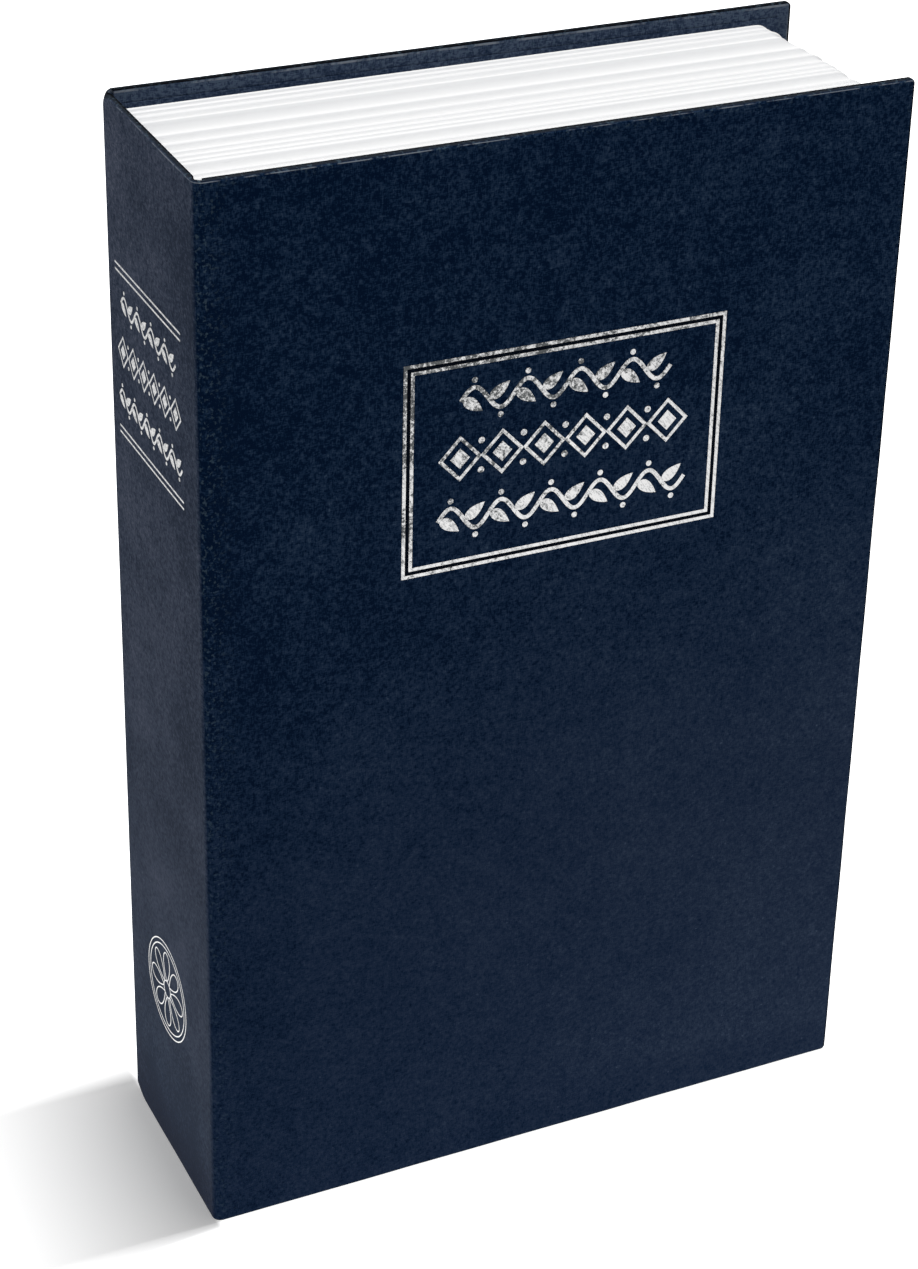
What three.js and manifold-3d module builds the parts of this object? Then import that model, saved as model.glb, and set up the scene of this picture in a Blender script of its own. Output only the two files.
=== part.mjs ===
// A book diversion safe: a hardback case round a moulded page block that hides a small steel box.
// Millimetres. +X runs from the spine to the fore edge, +Y from the front cover to the back cover, +Z up.
// The origin is the middle of the book's footprint, on the surface it stands on.

import * as THREE from "three";
import { mergeVertices } from "three/addons/utils/BufferGeometryUtils.js";
import Module from "manifold-3d";

const wasm = await Module();
wasm.setup();

// Overall size of the closed book
const bookWidth = 152;
const bookDepth = 51.5;
const bookHeight = 240;

// Case: greyboard wrapped in one sheet, whose joints bend at the two spine corners
const boardCore = 1.4;
const spineCore = 1;
const covering = 0.2;
const turnIn = 14;
const boardCorner = 1;
const boardArris = 0.4;
const jointRadius = 2;
const jointGap = 0.3;
const endpaper = 0.3;
const endpaperInset = 3;

// Page block: a white moulding, open at the back, fluted like leaves on its three outer sides
const headRecess = 4;
const foreRecess = 3;
const spineClearance = 0.3;
const coverClearance = 0.4;
const pageCorner = 4;
const wellCorner = 5;
const pageWall = 1.8;
const pageRim = 1.6;
const linerWall = 1.4;
const webThickness = 1.4;
const fluteDepth = 0.45;
const headBorder = 14;
const foreBorder = 13;
const spineBorder = 12;
const websAcross = 3;
const websUpright = 5;
// Widths of the groups of leaves, from the back board forwards
const leafGroups = [2.2, 2.4, 3.5, 7.1, 4.7, 4.1, 2.4, 2.3, 1.9, 5.1, 2.2, 2.1, 2.2, 2.3, 2.4];
// How far each of these groups ends short of the block's fore edge
const groupSetbacks = [1.6, 1, 1.4, 0.6, 0, 0.2, 0, 0.1, 0.2, 0, 0.1, 0, 0.2, 0.1, 0];
// A group falls to its cleft at this share of its width, then rises in a curve to its crest at the front
const cleftShare = 0.2;
const riseCurve = 1.5;
const riseSteps = 3;

// Steel box: a folded tub with an inward lip, and a lid whose flanges hang outside the tub's walls
const tubSheet = 1;
const tubCorner = 3;
const lipWidth = 7;
const lidSheet = 1;
const lidRecess = 3.2;
const lidFlange = 7;
const lidGap = 0.3;
const flangeGap = 0.5;
const rimGap = 0.7;

// Piano hinge between the tub and the lid, on the spine side
const pinRadius = 1;
const pinClearance = 0.1;
const knuckleWall = 0.7;
const leafSheet = 0.8;
const leafReach = 13;
const knuckleCount = 13;
const knuckleGap = 0.3;
const hingeEndGap = 0.8;
const pinOverhang = 0.4;

// Rivets of the hinge leaves
const rivetCount = 4;
const rivetRadius = 1.5;
const rivetHoleGap = 0.15;
const rivetHeadRadius = 2.6;
const rivetHeadHeight = 0.9;
const rivetTailRadius = 2.1;
const rivetTailHeight = 0.5;
const rivetSetback = 9;

// Cam lock through the lid, near the fore edge
const lockSetback = 26;
const lockHeadRadius = 9.5;
const lockHeadHeight = 1.8;
const lockHeadBevel = 0.5;
const barrelRadius = 8;
const barrelFlats = 13.4;
const barrelLength = 10;
const barrelHoleGap = 0.15;
const nutAcrossFlats = 20;
const nutThickness = 3;
const plugRadius = 5.5;
const plugHeadRadius = 6.6;
const plugHeadHeight = 1;
const plugClearance = 0.15;
const plugSink = 0.2;
const keywayHeight = 7.6;
const keywayWidth = 1.5;
const keywayDepth = 8;
const wardHeight = 2.6;
const tangSide = 6;
const tangClearance = 0.15;
const tangShortfall = 0.2;
const washerRadius = 7.2;
const washerThickness = 1;
const endPlay = 0.3;
const camThickness = 1.6;
const camHubRadius = 6.5;
const camWidth = 9;
const camTipCorner = 3;
const camReach = 24;
const camHubLength = 9;
const camSlopeLength = 6;
const camClearance = 0.4;
const screwRadius = 1.5;
const screwLength = 6;
const screwHeadRadius = 3.8;
const screwHeadHeight = 2;
const screwHeadBevel = 0.8;
const slotWidth = 1;
const slotDepth = 1.1;

// Facets of the round forms
const roundSides = 32;
const smallSides = 16;
const cornerSteps = 4;
const arrisSteps = 2;
const hexSides = 6;

// How far a cutting solid runs past the face that it leaves by
const overrun = 1;

// Places that several pieces share
const boardBuild = boardCore + 2 * covering;
const spineBuild = spineCore + 2 * covering;
const spineFace = -bookWidth / 2;
const foreFace = bookWidth / 2;
const frontFace = -bookDepth / 2;
const backFace = bookDepth / 2;
const boardStart = spineFace + jointRadius + jointGap;

const pageLeft = spineFace + spineBuild + spineClearance;
const pageRight = foreFace - foreRecess;
const pageBottom = headRecess;
const pageTop = bookHeight - headRecess;
const pageFront = frontFace + boardBuild + endpaper + coverClearance;
const pageBack = backFace - boardBuild - endpaper;

const wellLeft = pageLeft + spineBorder;
const wellRight = pageRight - foreBorder;
const wellBottom = pageBottom + headBorder;
const wellTop = pageTop - headBorder;

const tubGap = rimGap + lidSheet + flangeGap;
const tubLeft = wellLeft + tubGap;
const tubRight = wellRight - tubGap;
const tubBottom = wellBottom + tubGap;
const tubTop = wellTop - tubGap;
const lidFront = pageFront + lidRecess;
const lidBack = lidFront + lidSheet;
const lipFront = lidBack + lidGap;
const lipBack = lipFront + tubSheet;

const knuckleRadius = pinRadius + pinClearance + knuckleWall;
const hingeX = tubLeft + tubSheet + knuckleRadius;
const hingeY = lidFront;
const hingeBottom = tubBottom + lipWidth + hingeEndGap;
const hingeTop = tubTop - lipWidth - hingeEndGap;
const lidLeft = hingeX + knuckleRadius + flangeGap;
const tubLeafLeft = tubLeft + tubSheet;
const tubLeafEnd = tubLeafLeft + leafSheet;
const lidLeafBack = lidBack + leafSheet;

const lockX = tubRight - lockSetback;
const lockZ = (tubBottom + tubTop) / 2;
const barrelEnd = lidFront + barrelLength;
const washerFront = barrelEnd + endPlay;
const camFront = washerFront + washerThickness;
const camBack = camFront + camThickness;
const camTipFront = lipBack + camClearance;

const clothColour = 0x101d30;
const leatherPaper = new THREE.MeshStandardMaterial({ color: clothColour, roughness: 0.72 });
const greyboard = new THREE.MeshStandardMaterial({ color: 0x8d8578, roughness: 0.95 });
const liningPaper = new THREE.MeshStandardMaterial({ color: 0x14223a, roughness: 0.8 });
const whitePlastic = new THREE.MeshStandardMaterial({ color: 0xf4f4f3, roughness: 0.5 });
const paintedSteel = new THREE.MeshStandardMaterial({ color: 0x2b2d30, roughness: 0.55, metalness: 0.2 });
const platedSteel = new THREE.MeshStandardMaterial({ color: 0xb9bcc0, roughness: 0.35, metalness: 0.9 });
const chromePlate = new THREE.MeshStandardMaterial({ color: 0xd8dadd, roughness: 0.15, metalness: 1 });

// A closed geometry as a solid that can be joined and cut
function solidOf(geometry) {
  const bare = geometry.clone();
  bare.deleteAttribute("normal");
  bare.deleteAttribute("uv");
  const merged = mergeVertices(bare, 1e-4);
  const mesh = new wasm.Mesh({
    numProp: 3,
    vertProperties: new Float32Array(merged.attributes.position.array),
    triVerts: new Uint32Array(merged.index.array),
  });
  return new wasm.Manifold(mesh);
}

function geometryOf(solid) {
  const { numProp, vertProperties, triVerts } = solid.getMesh();
  const positions = new Float32Array((vertProperties.length / numProp) * 3);
  for (let i = 0; i < positions.length / 3; i++) {
    positions.set(vertProperties.subarray(i * numProp, i * numProp + 3), i * 3);
  }
  const geometry = new THREE.BufferGeometry();
  geometry.setAttribute("position", new THREE.BufferAttribute(positions, 3));
  geometry.setIndex(new THREE.BufferAttribute(new Uint32Array(triVerts), 1));
  geometry.computeVertexNormals();
  return geometry;
}

function piece(name, solid, material) {
  const mesh = new THREE.Mesh(geometryOf(solid), material);
  mesh.name = name;
  return mesh;
}

// Form helpers: every one gives a solid in the book's own frame

function block(x0, x1, y0, y1, z0, z1) {
  const geometry = new THREE.BoxGeometry(x1 - x0, y1 - y0, z1 - z0);
  return solidOf(geometry.translate((x0 + x1) / 2, (y0 + y1) / 2, (z0 + z1) / 2));
}

function roundedOutline(x0, x1, z0, z1, radius) {
  const shape = new THREE.Shape();
  shape.absarc(x1 - radius, z0 + radius, radius, -Math.PI / 2, 0);
  shape.absarc(x1 - radius, z1 - radius, radius, 0, Math.PI / 2);
  shape.absarc(x0 + radius, z1 - radius, radius, Math.PI / 2, Math.PI);
  shape.absarc(x0 + radius, z0 + radius, radius, Math.PI, Math.PI * 1.5);
  shape.closePath();
  return shape;
}

// A shape drawn in X and Z, made thick along Y
function slabAlongY(shape, y0, y1, steps = cornerSteps) {
  const geometry = new THREE.ExtrudeGeometry(shape, {
    depth: y1 - y0,
    bevelEnabled: false,
    curveSegments: steps,
  });
  return solidOf(geometry.rotateX(Math.PI / 2).translate(0, y1, 0));
}

// A shape drawn in X and Y, made tall along Z
function slabAlongZ(shape, z0, z1, steps = cornerSteps) {
  const geometry = new THREE.ExtrudeGeometry(shape, {
    depth: z1 - z0,
    bevelEnabled: false,
    curveSegments: steps,
  });
  return solidOf(geometry.translate(0, 0, z0));
}

function roundAlongY(radius, y0, y1, x, z, sides = roundSides) {
  const geometry = new THREE.CylinderGeometry(radius, radius, y1 - y0, sides);
  return solidOf(geometry.translate(x, (y0 + y1) / 2, z));
}

function roundAlongZ(radius, z0, z1, x, y, sides = smallSides) {
  const geometry = new THREE.CylinderGeometry(radius, radius, z1 - z0, sides).rotateX(Math.PI / 2);
  return solidOf(geometry.translate(x, y, (z0 + z1) / 2));
}

// A profile of [radius, height] pairs turned about Y; heights grow towards +Y
function turnedAlongY(profile, x, z, sides = roundSides) {
  const points = profile.map(([radius, height]) => new THREE.Vector2(radius, height));
  return solidOf(new THREE.LatheGeometry(points, sides).translate(x, 0, z));
}

// Case

// A board's wrapping before the board is cut out of it: its free arrises are rounded by the sheet,
// and its spine side is cut square, where the sheet runs on into the joint
function wrappedSlab(y0, y1) {
  const past = boardStart - 2 * boardCorner;
  const shape = roundedOutline(past, foreFace, 0, bookHeight, boardCorner);
  const geometry = new THREE.ExtrudeGeometry(shape, {
    depth: y1 - y0 - 2 * boardArris,
    bevelEnabled: true,
    bevelThickness: boardArris,
    bevelSize: boardArris,
    bevelOffset: -boardArris,
    bevelSegments: arrisSteps,
    curveSegments: cornerSteps,
  });
  const slab = solidOf(geometry.rotateX(Math.PI / 2).translate(0, y1 - boardArris, 0));
  const waste = block(past - overrun, boardStart, y0 - overrun, y1 + overrun, -overrun, bookHeight + overrun);
  return slab.subtract(waste);
}

// A board, or with a lead its seat in the wrapping, which is open on the spine side
function boardSolid(y0, lead = 0) {
  return block(
    boardStart - lead,
    foreFace - covering,
    y0,
    y0 + boardCore,
    covering,
    bookHeight - covering,
  );
}

// The opening that the turned-in margins leave on a board's inner side
function turnInWindow(innerFace) {
  const x0 = boardStart - overrun;
  const x1 = foreFace - turnIn;
  return block(x0, x1, innerFace - overrun, innerFace + overrun, turnIn, bookHeight - turnIn);
}

// A board in its sheet; outerFace is the cover's outside and inward points from it into the book
function wrappedBoard(names, outerFace, inward) {
  const innerFace = outerFace + inward * boardBuild;
  const low = Math.min(outerFace, innerFace);
  const wrap = wrappedSlab(low, low + boardBuild);
  const seat = boardSolid(low + covering, overrun);
  const sheet = wrap.subtract(seat).subtract(turnInWindow(innerFace));
  return [
    piece(names.board, boardSolid(low + covering), greyboard),
    piece(names.sheet, sheet, leatherPaper),
  ];
}

// The sheet alone, bent round a spine corner; side is -1 at the front and +1 at the back
function jointStrip(side) {
  const centreX = spineFace + jointRadius;
  const centreY = side * (bookDepth / 2 - jointRadius);
  const outward = (side * Math.PI) / 2;
  const end = side > 0 ? centreX + jointGap : centreX;
  const shape = new THREE.Shape();
  shape.absarc(centreX, centreY, jointRadius, Math.PI, outward, side > 0);
  shape.lineTo(end, centreY + side * jointRadius);
  shape.lineTo(end, centreY + side * (jointRadius - covering));
  shape.absarc(centreX, centreY, jointRadius - covering, outward, Math.PI, side < 0);
  shape.closePath();
  return slabAlongZ(shape, 0, bookHeight, 2 * cornerSteps);
}

function spineCase() {
  const edge = bookDepth / 2 - jointRadius;
  const boardX = spineFace + covering;
  const boardEnd = boardX + spineCore;
  const past = edge + overrun;
  const top = bookHeight - covering;
  const board = block(boardX, boardEnd, -edge, edge, covering, top);
  const wrap = block(spineFace, spineFace + spineBuild, -edge, edge, 0, bookHeight);
  const seat = block(boardX, boardEnd, -past, past, covering, top);
  const window = block(boardX, boardEnd + overrun, -past, past, turnIn, bookHeight - turnIn);
  const sheet = wrap.subtract(seat).subtract(window).add(jointStrip(-1)).add(jointStrip(1));
  return [piece("spine_board", board, greyboard), piece("spine_covering", sheet, leatherPaper)];
}

function endpaperSheet(name, y0) {
  const x1 = foreFace - endpaperInset;
  const sheet = block(boardStart, x1, y0, y0 + endpaper, endpaperInset, bookHeight - endpaperInset);
  return piece(name, sheet, liningPaper);
}

// Page block

// The block's outline at one depth: square at the spine, round at the fore edge, drawn in by inset all
// round and by setback at the fore edge
function pageOutline(inset, setback) {
  const points = [[pageLeft, pageBottom + inset]];
  const centreX = pageRight - setback - pageCorner;
  const radius = pageCorner - inset;
  const steps = 2 * cornerSteps;
  for (let i = 0; i <= steps; i++) {
    const angle = -Math.PI / 2 + (i / steps) * (Math.PI / 2);
    const centreZ = pageBottom + pageCorner;
    points.push([centreX + radius * Math.cos(angle), centreZ + radius * Math.sin(angle)]);
  }
  for (let i = 0; i <= steps; i++) {
    const angle = (i / steps) * (Math.PI / 2);
    const centreZ = pageTop - pageCorner;
    points.push([centreX + radius * Math.cos(angle), centreZ + radius * Math.sin(angle)]);
  }
  points.push([pageLeft, pageTop - inset]);
  return points;
}

// [place along Y, inset, setback] of each step of the fluting, from the back crest to the front one
function fluteLevels() {
  const total = leafGroups.reduce((sum, width) => sum + width, 0);
  const scale = (pageBack - pageFront) / total;
  const levels = [[pageBack, 0, groupSetbacks[0]]];
  let y = pageBack;
  leafGroups.forEach((width, group) => {
    for (let step = 0; step <= riseSteps; step++) {
      const rise = step / riseSteps;
      const share = cleftShare + (1 - cleftShare) * rise;
      const inset = fluteDepth * (1 - rise ** riseCurve);
      levels.push([y - share * width * scale, inset, groupSetbacks[group]]);
    }
    y -= width * scale;
  });
  return levels.reverse();
}

// Rings of points joined into one closed skin, from the front ring to the back one
function flutedBlock() {
  const rings = fluteLevels().map(([y, inset, setback]) =>
    pageOutline(inset, setback).map(([x, z]) => [x, y, z]),
  );
  const count = rings[0].length;
  const faces = [];
  for (let j = 0; j + 1 < rings.length; j++) {
    for (let i = 0; i < count; i++) {
      const a = j * count + i;
      const b = j * count + ((i + 1) % count);
      faces.push(a, b + count, b, a, a + count, b + count);
    }
  }
  const last = (rings.length - 1) * count;
  for (let i = 1; i + 1 < count; i++) {
    faces.push(0, i, i + 1, last, last + i + 1, last + i);
  }
  const geometry = new THREE.BufferGeometry();
  geometry.setAttribute("position", new THREE.Float32BufferAttribute(rings.flat(2), 3));
  geometry.setIndex(faces);
  return solidOf(geometry);
}

// The pockets between the stiffening webs on one side of the block, open at the back
function pockets(x0, x1, z0, z1, webs) {
  const upright = z1 - z0 > x1 - x0;
  const start = upright ? z0 : x0;
  const span = upright ? z1 - z0 : x1 - x0;
  const length = (span - webs * webThickness) / (webs + 1);
  const floor = pageFront + pageRim;
  const back = pageBack + overrun;
  const cuts = [];
  for (let i = 0; i <= webs; i++) {
    const from = start + i * (length + webThickness);
    const to = from + length;
    const ends = upright ? [x0, x1, floor, back, from, to] : [from, to, floor, back, z0, z1];
    cuts.push(block(...ends));
  }
  return cuts;
}

function pageFrame() {
  const outer = pageWall;
  const inner = linerWall;
  const left = pageLeft + outer;
  const right = pageRight - Math.max(...groupSetbacks) - outer;
  const sideLow = wellBottom - inner + webThickness;
  const sideHigh = wellTop + inner - webThickness;
  const well = roundedOutline(wellLeft, wellRight, wellBottom, wellTop, wellCorner);
  const cuts = [
    slabAlongY(well, pageFront - overrun, pageBack + overrun),
    ...pockets(left, right, wellTop + inner, pageTop - outer, websAcross),
    ...pockets(left, right, pageBottom + outer, wellBottom - inner, websAcross),
    ...pockets(left, wellLeft - inner, sideLow, sideHigh, websUpright),
    ...pockets(wellRight + inner, right, sideLow, sideHigh, websUpright),
  ];
  const frame = cuts.reduce((solid, cut) => solid.subtract(cut), flutedBlock());
  return piece("page_frame", frame, whitePlastic);
}

// Steel box

function rivetHeights() {
  const pitch = (hingeTop - hingeBottom) / rivetCount;
  return Array.from({ length: rivetCount }, (_, i) => hingeBottom + (i + 0.5) * pitch);
}

const lidRivetX = hingeX + rivetSetback;
const tubRivetY = hingeY + rivetSetback;
const rivetHoleRadius = rivetRadius + rivetHoleGap;

function roundAlongX(radius, x0, x1, y, z, sides = smallSides) {
  const geometry = new THREE.CylinderGeometry(radius, radius, x1 - x0, sides).rotateZ(Math.PI / 2);
  return solidOf(geometry.translate((x0 + x1) / 2, y, z));
}

function boxTub() {
  const outline = roundedOutline(tubLeft, tubRight, tubBottom, tubTop, tubCorner);
  const inside = roundedOutline(
    tubLeft + tubSheet,
    tubRight - tubSheet,
    tubBottom + tubSheet,
    tubTop - tubSheet,
    tubCorner - tubSheet,
  );
  const mouth = block(
    tubLeft + tubSheet,
    tubRight - lipWidth,
    lipFront - overrun,
    lipBack + overrun,
    tubBottom + lipWidth,
    tubTop - lipWidth,
  );
  let tub = slabAlongY(outline, lipFront, pageBack);
  tub = tub.subtract(slabAlongY(inside, lipBack, pageBack - tubSheet)).subtract(mouth);
  for (const z of rivetHeights()) {
    tub = tub.subtract(roundAlongX(rivetHoleRadius, tubLeft - overrun, tubLeafLeft + overrun, tubRivetY, z));
  }
  return piece("box_tub", tub, paintedSteel);
}

// The lock's barrel is round with two flats, which also shape its hole in the lid
function barrelOutline(grow) {
  const radius = barrelRadius + grow;
  const half = barrelFlats / 2 + grow;
  const angle = Math.acos(half / radius);
  const shape = new THREE.Shape();
  shape.absarc(lockX, lockZ, radius, angle, Math.PI - angle);
  shape.absarc(lockX, lockZ, radius, Math.PI + angle, 2 * Math.PI - angle);
  shape.closePath();
  return shape;
}

// The lid's outline, square at the hinge and round at the fore edge, drawn in by inset
function lidOutline(left, inset) {
  const low = tubBottom - flangeGap - lidSheet + inset;
  const high = tubTop + flangeGap + lidSheet - inset;
  const right = tubRight + flangeGap + lidSheet - inset;
  const corner = tubCorner + flangeGap + lidSheet - inset;
  const shape = new THREE.Shape();
  shape.moveTo(left, low);
  shape.lineTo(right - corner, low);
  shape.absarc(right - corner, low + corner, corner, -Math.PI / 2, 0);
  shape.absarc(right - corner, high - corner, corner, 0, Math.PI / 2);
  shape.lineTo(left, high);
  shape.closePath();
  return shape;
}

function boxLid() {
  const flangeEnd = lidFront + lidFlange;
  const front = lidFront - overrun;
  const back = lidBack + overrun;
  const hollow = slabAlongY(lidOutline(lidLeft - overrun, lidSheet), lidBack, flangeEnd + overrun);
  const lockHole = slabAlongY(barrelOutline(barrelHoleGap), front, back, roundSides);
  let lid = slabAlongY(lidOutline(lidLeft, 0), lidFront, flangeEnd).subtract(hollow).subtract(lockHole);
  for (const z of rivetHeights()) {
    lid = lid.subtract(roundAlongY(rivetHoleRadius, front, back, lidRivetX, z, smallSides));
  }
  return piece("box_lid", lid, paintedSteel);
}

// Hinge

const knucklePitch = (hingeTop - hingeBottom) / knuckleCount;

// Everything of a leaf that stands where the other leaf's knuckles are
function knuckleCuts(first) {
  const reach = knuckleRadius + knuckleGap;
  const cuts = [];
  for (let i = first; i < knuckleCount; i += 2) {
    const low = hingeBottom + i * knucklePitch - (i > 0 ? knuckleGap / 2 : overrun);
    const high = hingeBottom + (i + 1) * knucklePitch + (i + 1 < knuckleCount ? knuckleGap / 2 : overrun);
    cuts.push(block(hingeX - reach, hingeX + reach, hingeY - reach, hingeY + reach, low, high));
  }
  return cuts;
}

function hingeLeaf(plate, holes, firstCut) {
  const barrel = roundAlongZ(knuckleRadius, hingeBottom, hingeTop, hingeX, hingeY);
  const boreRadius = pinRadius + pinClearance;
  const bore = roundAlongZ(boreRadius, hingeBottom - overrun, hingeTop + overrun, hingeX, hingeY);
  const cuts = [bore, ...holes, ...knuckleCuts(firstCut)];
  return cuts.reduce((solid, cut) => solid.subtract(cut), barrel.add(plate));
}

function tubLeaf() {
  const plate = block(
    tubLeafLeft,
    tubLeafEnd,
    hingeY,
    hingeY + leafReach,
    hingeBottom,
    hingeTop,
  );
  const holes = rivetHeights().map((z) =>
    roundAlongX(rivetHoleRadius, tubLeafLeft - overrun, tubLeafEnd + overrun, tubRivetY, z),
  );
  return piece("hinge_leaf_tub", hingeLeaf(plate, holes, 1), platedSteel);
}

function lidLeaf() {
  const plate = block(
    hingeX,
    hingeX + leafReach,
    lidBack,
    lidLeafBack,
    hingeBottom,
    hingeTop,
  );
  const holes = rivetHeights().map((z) =>
    roundAlongY(rivetHoleRadius, lidBack - overrun, lidLeafBack + overrun, lidRivetX, z, smallSides),
  );
  return piece("hinge_leaf_lid", hingeLeaf(plate, holes, 0), platedSteel);
}

function hingePin() {
  const pin = roundAlongZ(pinRadius, hingeBottom - pinOverhang, hingeTop + pinOverhang, hingeX, hingeY);
  return piece("hinge_pin", pin, platedSteel);
}

// A rivet's profile from its domed head, at height 0 under the head, through a grip to its tail
function rivetProfile(grip) {
  const dome = [];
  for (let i = 0; i <= cornerSteps; i++) {
    const angle = (i / cornerSteps) * (Math.PI / 2);
    dome.push([rivetHeadRadius * Math.sin(angle), -rivetHeadHeight * Math.cos(angle)]);
  }
  return [
    ...dome,
    [rivetRadius, 0],
    [rivetRadius, grip],
    [rivetTailRadius, grip],
    [rivetTailRadius, grip + rivetTailHeight],
    [0, grip + rivetTailHeight],
  ];
}

function lidRivets() {
  const solid = turnedAlongY(rivetProfile(lidSheet + leafSheet), 0, 0, smallSides);
  return rivetHeights().map((z, i) => {
    const rivet = piece(`lid_rivet_${i + 1}`, solid, platedSteel);
    rivet.position.set(lidRivetX, lidFront, z);
    return rivet;
  });
}

function tubRivets() {
  const solid = turnedAlongY(rivetProfile(tubSheet + leafSheet), 0, 0, smallSides);
  return rivetHeights().map((z, i) => {
    const rivet = piece(`tub_rivet_${i + 1}`, solid, platedSteel);
    rivet.position.set(tubLeft, tubRivetY, z);
    rivet.rotation.z = -Math.PI / 2;
    return rivet;
  });
}

// Cam lock

function lockBody() {
  const faceY = lidFront - lockHeadHeight;
  const head = turnedAlongY(
    [
      [0, faceY],
      [lockHeadRadius - lockHeadBevel, faceY],
      [lockHeadRadius, faceY + lockHeadBevel],
      [lockHeadRadius, lidFront],
      [0, lidFront],
    ],
    lockX,
    lockZ,
  );
  const barrel = slabAlongY(barrelOutline(0), lidFront, barrelEnd, roundSides);
  const bore = roundAlongY(plugRadius + plugClearance, faceY - overrun, barrelEnd + overrun, lockX, lockZ);
  const seat = faceY + plugSink + plugHeadHeight + plugClearance;
  const counterbore = roundAlongY(plugHeadRadius + plugClearance, faceY - overrun, seat, lockX, lockZ);
  return piece("lock_body", head.add(barrel).subtract(bore).subtract(counterbore), chromePlate);
}

function lockNut() {
  const radius = nutAcrossFlats / 2 / Math.cos(Math.PI / hexSides);
  const end = lidBack + nutThickness;
  const hex = roundAlongY(radius, lidBack, end, lockX, lockZ, hexSides);
  const holeRadius = barrelRadius + barrelHoleGap;
  const hole = roundAlongY(holeRadius, lidBack - overrun, end + overrun, lockX, lockZ);
  return piece("lock_nut", hex.subtract(hole), platedSteel);
}

// The turning plug: a headed cylinder with a keyway in its face and a square tang behind
function lockPlug() {
  const faceY = lidFront - lockHeadHeight + plugSink;
  const tangEnd = camBack - tangShortfall;
  const plug = turnedAlongY(
    [
      [0, faceY],
      [plugHeadRadius, faceY],
      [plugHeadRadius, faceY + plugHeadHeight],
      [plugRadius, faceY + plugHeadHeight],
      [plugRadius, barrelEnd],
      [0, barrelEnd],
    ],
    lockX,
    lockZ,
  );
  const half = tangSide / 2;
  const tang = block(lockX - half, lockX + half, barrelEnd, tangEnd, lockZ - half, lockZ + half);
  const keyway = block(
    lockX - keywayWidth / 2,
    lockX + keywayWidth / 2,
    faceY - overrun,
    faceY + keywayDepth,
    lockZ - keywayHeight / 2,
    lockZ + keywayHeight / 2,
  );
  const ward = block(
    lockX - keywayWidth,
    lockX,
    faceY - overrun,
    faceY + keywayDepth,
    lockZ - wardHeight / 2,
    lockZ + wardHeight / 2,
  );
  const threadStart = camBack - screwLength - tangClearance;
  const threadRadius = screwRadius + tangClearance;
  const thread = roundAlongY(threadRadius, threadStart, tangEnd + overrun, lockX, lockZ, smallSides);
  return piece("lock_plug", plug.add(tang).subtract(keyway).subtract(ward).subtract(thread), platedSteel);
}

function tangHole(y0, y1) {
  const half = tangSide / 2 + tangClearance;
  return block(lockX - half, lockX + half, y0 - overrun, y1 + overrun, lockZ - half, lockZ + half);
}

function stopWasher() {
  const disc = roundAlongY(washerRadius, washerFront, camFront, lockX, lockZ);
  return piece("stop_washer", disc.subtract(tangHole(washerFront, camFront)), platedSteel);
}

// The cam hangs down when unlocked; its arm is cranked forwards so that its tip runs behind the tub's lip
function lockCam() {
  const bend = [
    [0, camFront],
    [camHubLength, camFront],
    [camHubLength + camSlopeLength, camTipFront],
    [camReach, camTipFront],
  ];
  const side = new THREE.Shape();
  bend.forEach(([reach, y], i) => (i ? side.lineTo(y, -reach) : side.moveTo(y, -reach)));
  bend.reverse().forEach(([reach, y]) => side.lineTo(y + camThickness, -reach));
  side.closePath();
  const profile = new THREE.ExtrudeGeometry(side, { depth: camWidth, bevelEnabled: false });
  const turn = new THREE.Matrix4().makeBasis(
    new THREE.Vector3(0, 1, 0),
    new THREE.Vector3(0, 0, 1),
    new THREE.Vector3(1, 0, 0),
  );
  const arm = solidOf(profile.applyMatrix4(turn).translate(lockX - camWidth / 2, 0, lockZ));
  const hub = roundAlongY(camHubRadius, camFront, camBack, lockX, lockZ);
  const tipRound = roundedOutline(
    lockX - camWidth / 2,
    lockX + camWidth / 2,
    lockZ - camReach,
    lockZ + camHubRadius,
    camTipCorner,
  );
  const envelope = slabAlongY(tipRound, camTipFront, camBack);
  const cam = arm.intersect(envelope).add(hub).subtract(tangHole(camFront, camBack));
  return piece("lock_cam", cam, platedSteel);
}

function camScrew() {
  const profile = [
    [0, camBack - screwLength],
    [screwRadius, camBack - screwLength],
    [screwRadius, camBack],
    [screwHeadRadius, camBack],
    [screwHeadRadius, camBack + screwHeadHeight - screwHeadBevel],
    [screwHeadRadius - screwHeadBevel, camBack + screwHeadHeight],
    [0, camBack + screwHeadHeight],
  ];
  const slot = block(
    lockX - slotWidth / 2,
    lockX + slotWidth / 2,
    camBack + screwHeadHeight - slotDepth,
    camBack + screwHeadHeight + overrun,
    lockZ - screwHeadRadius - overrun,
    lockZ + screwHeadRadius + overrun,
  );
  return piece("cam_screw", turnedAlongY(profile, lockX, lockZ, smallSides).subtract(slot), platedSteel);
}

// Assembly: one group for each thing that moves as a whole

function group(...parts) {
  const made = new THREE.Group();
  made.add(...parts.flat());
  return made;
}

const frontNames = { board: "front_board", sheet: "front_covering" };
const backNames = { board: "back_board", sheet: "back_covering" };
const frontCover = group(
  wrappedBoard(frontNames, frontFace, 1),
  endpaperSheet("front_endpaper", frontFace + boardBuild),
);
const turningLock = group(lockPlug(), stopWasher(), lockCam(), camScrew());
const lidAssembly = group(boxLid(), lidLeaf(), lidRivets(), lockBody(), lockNut(), turningLock);
const bookBody = group(
  spineCase(),
  wrappedBoard(backNames, backFace, -1),
  endpaperSheet("back_endpaper", pageBack),
  pageFrame(),
  boxTub(),
  tubLeaf(),
  tubRivets(),
  hingePin(),
);

export default group(bookBody, frontCover, lidAssembly);
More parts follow.
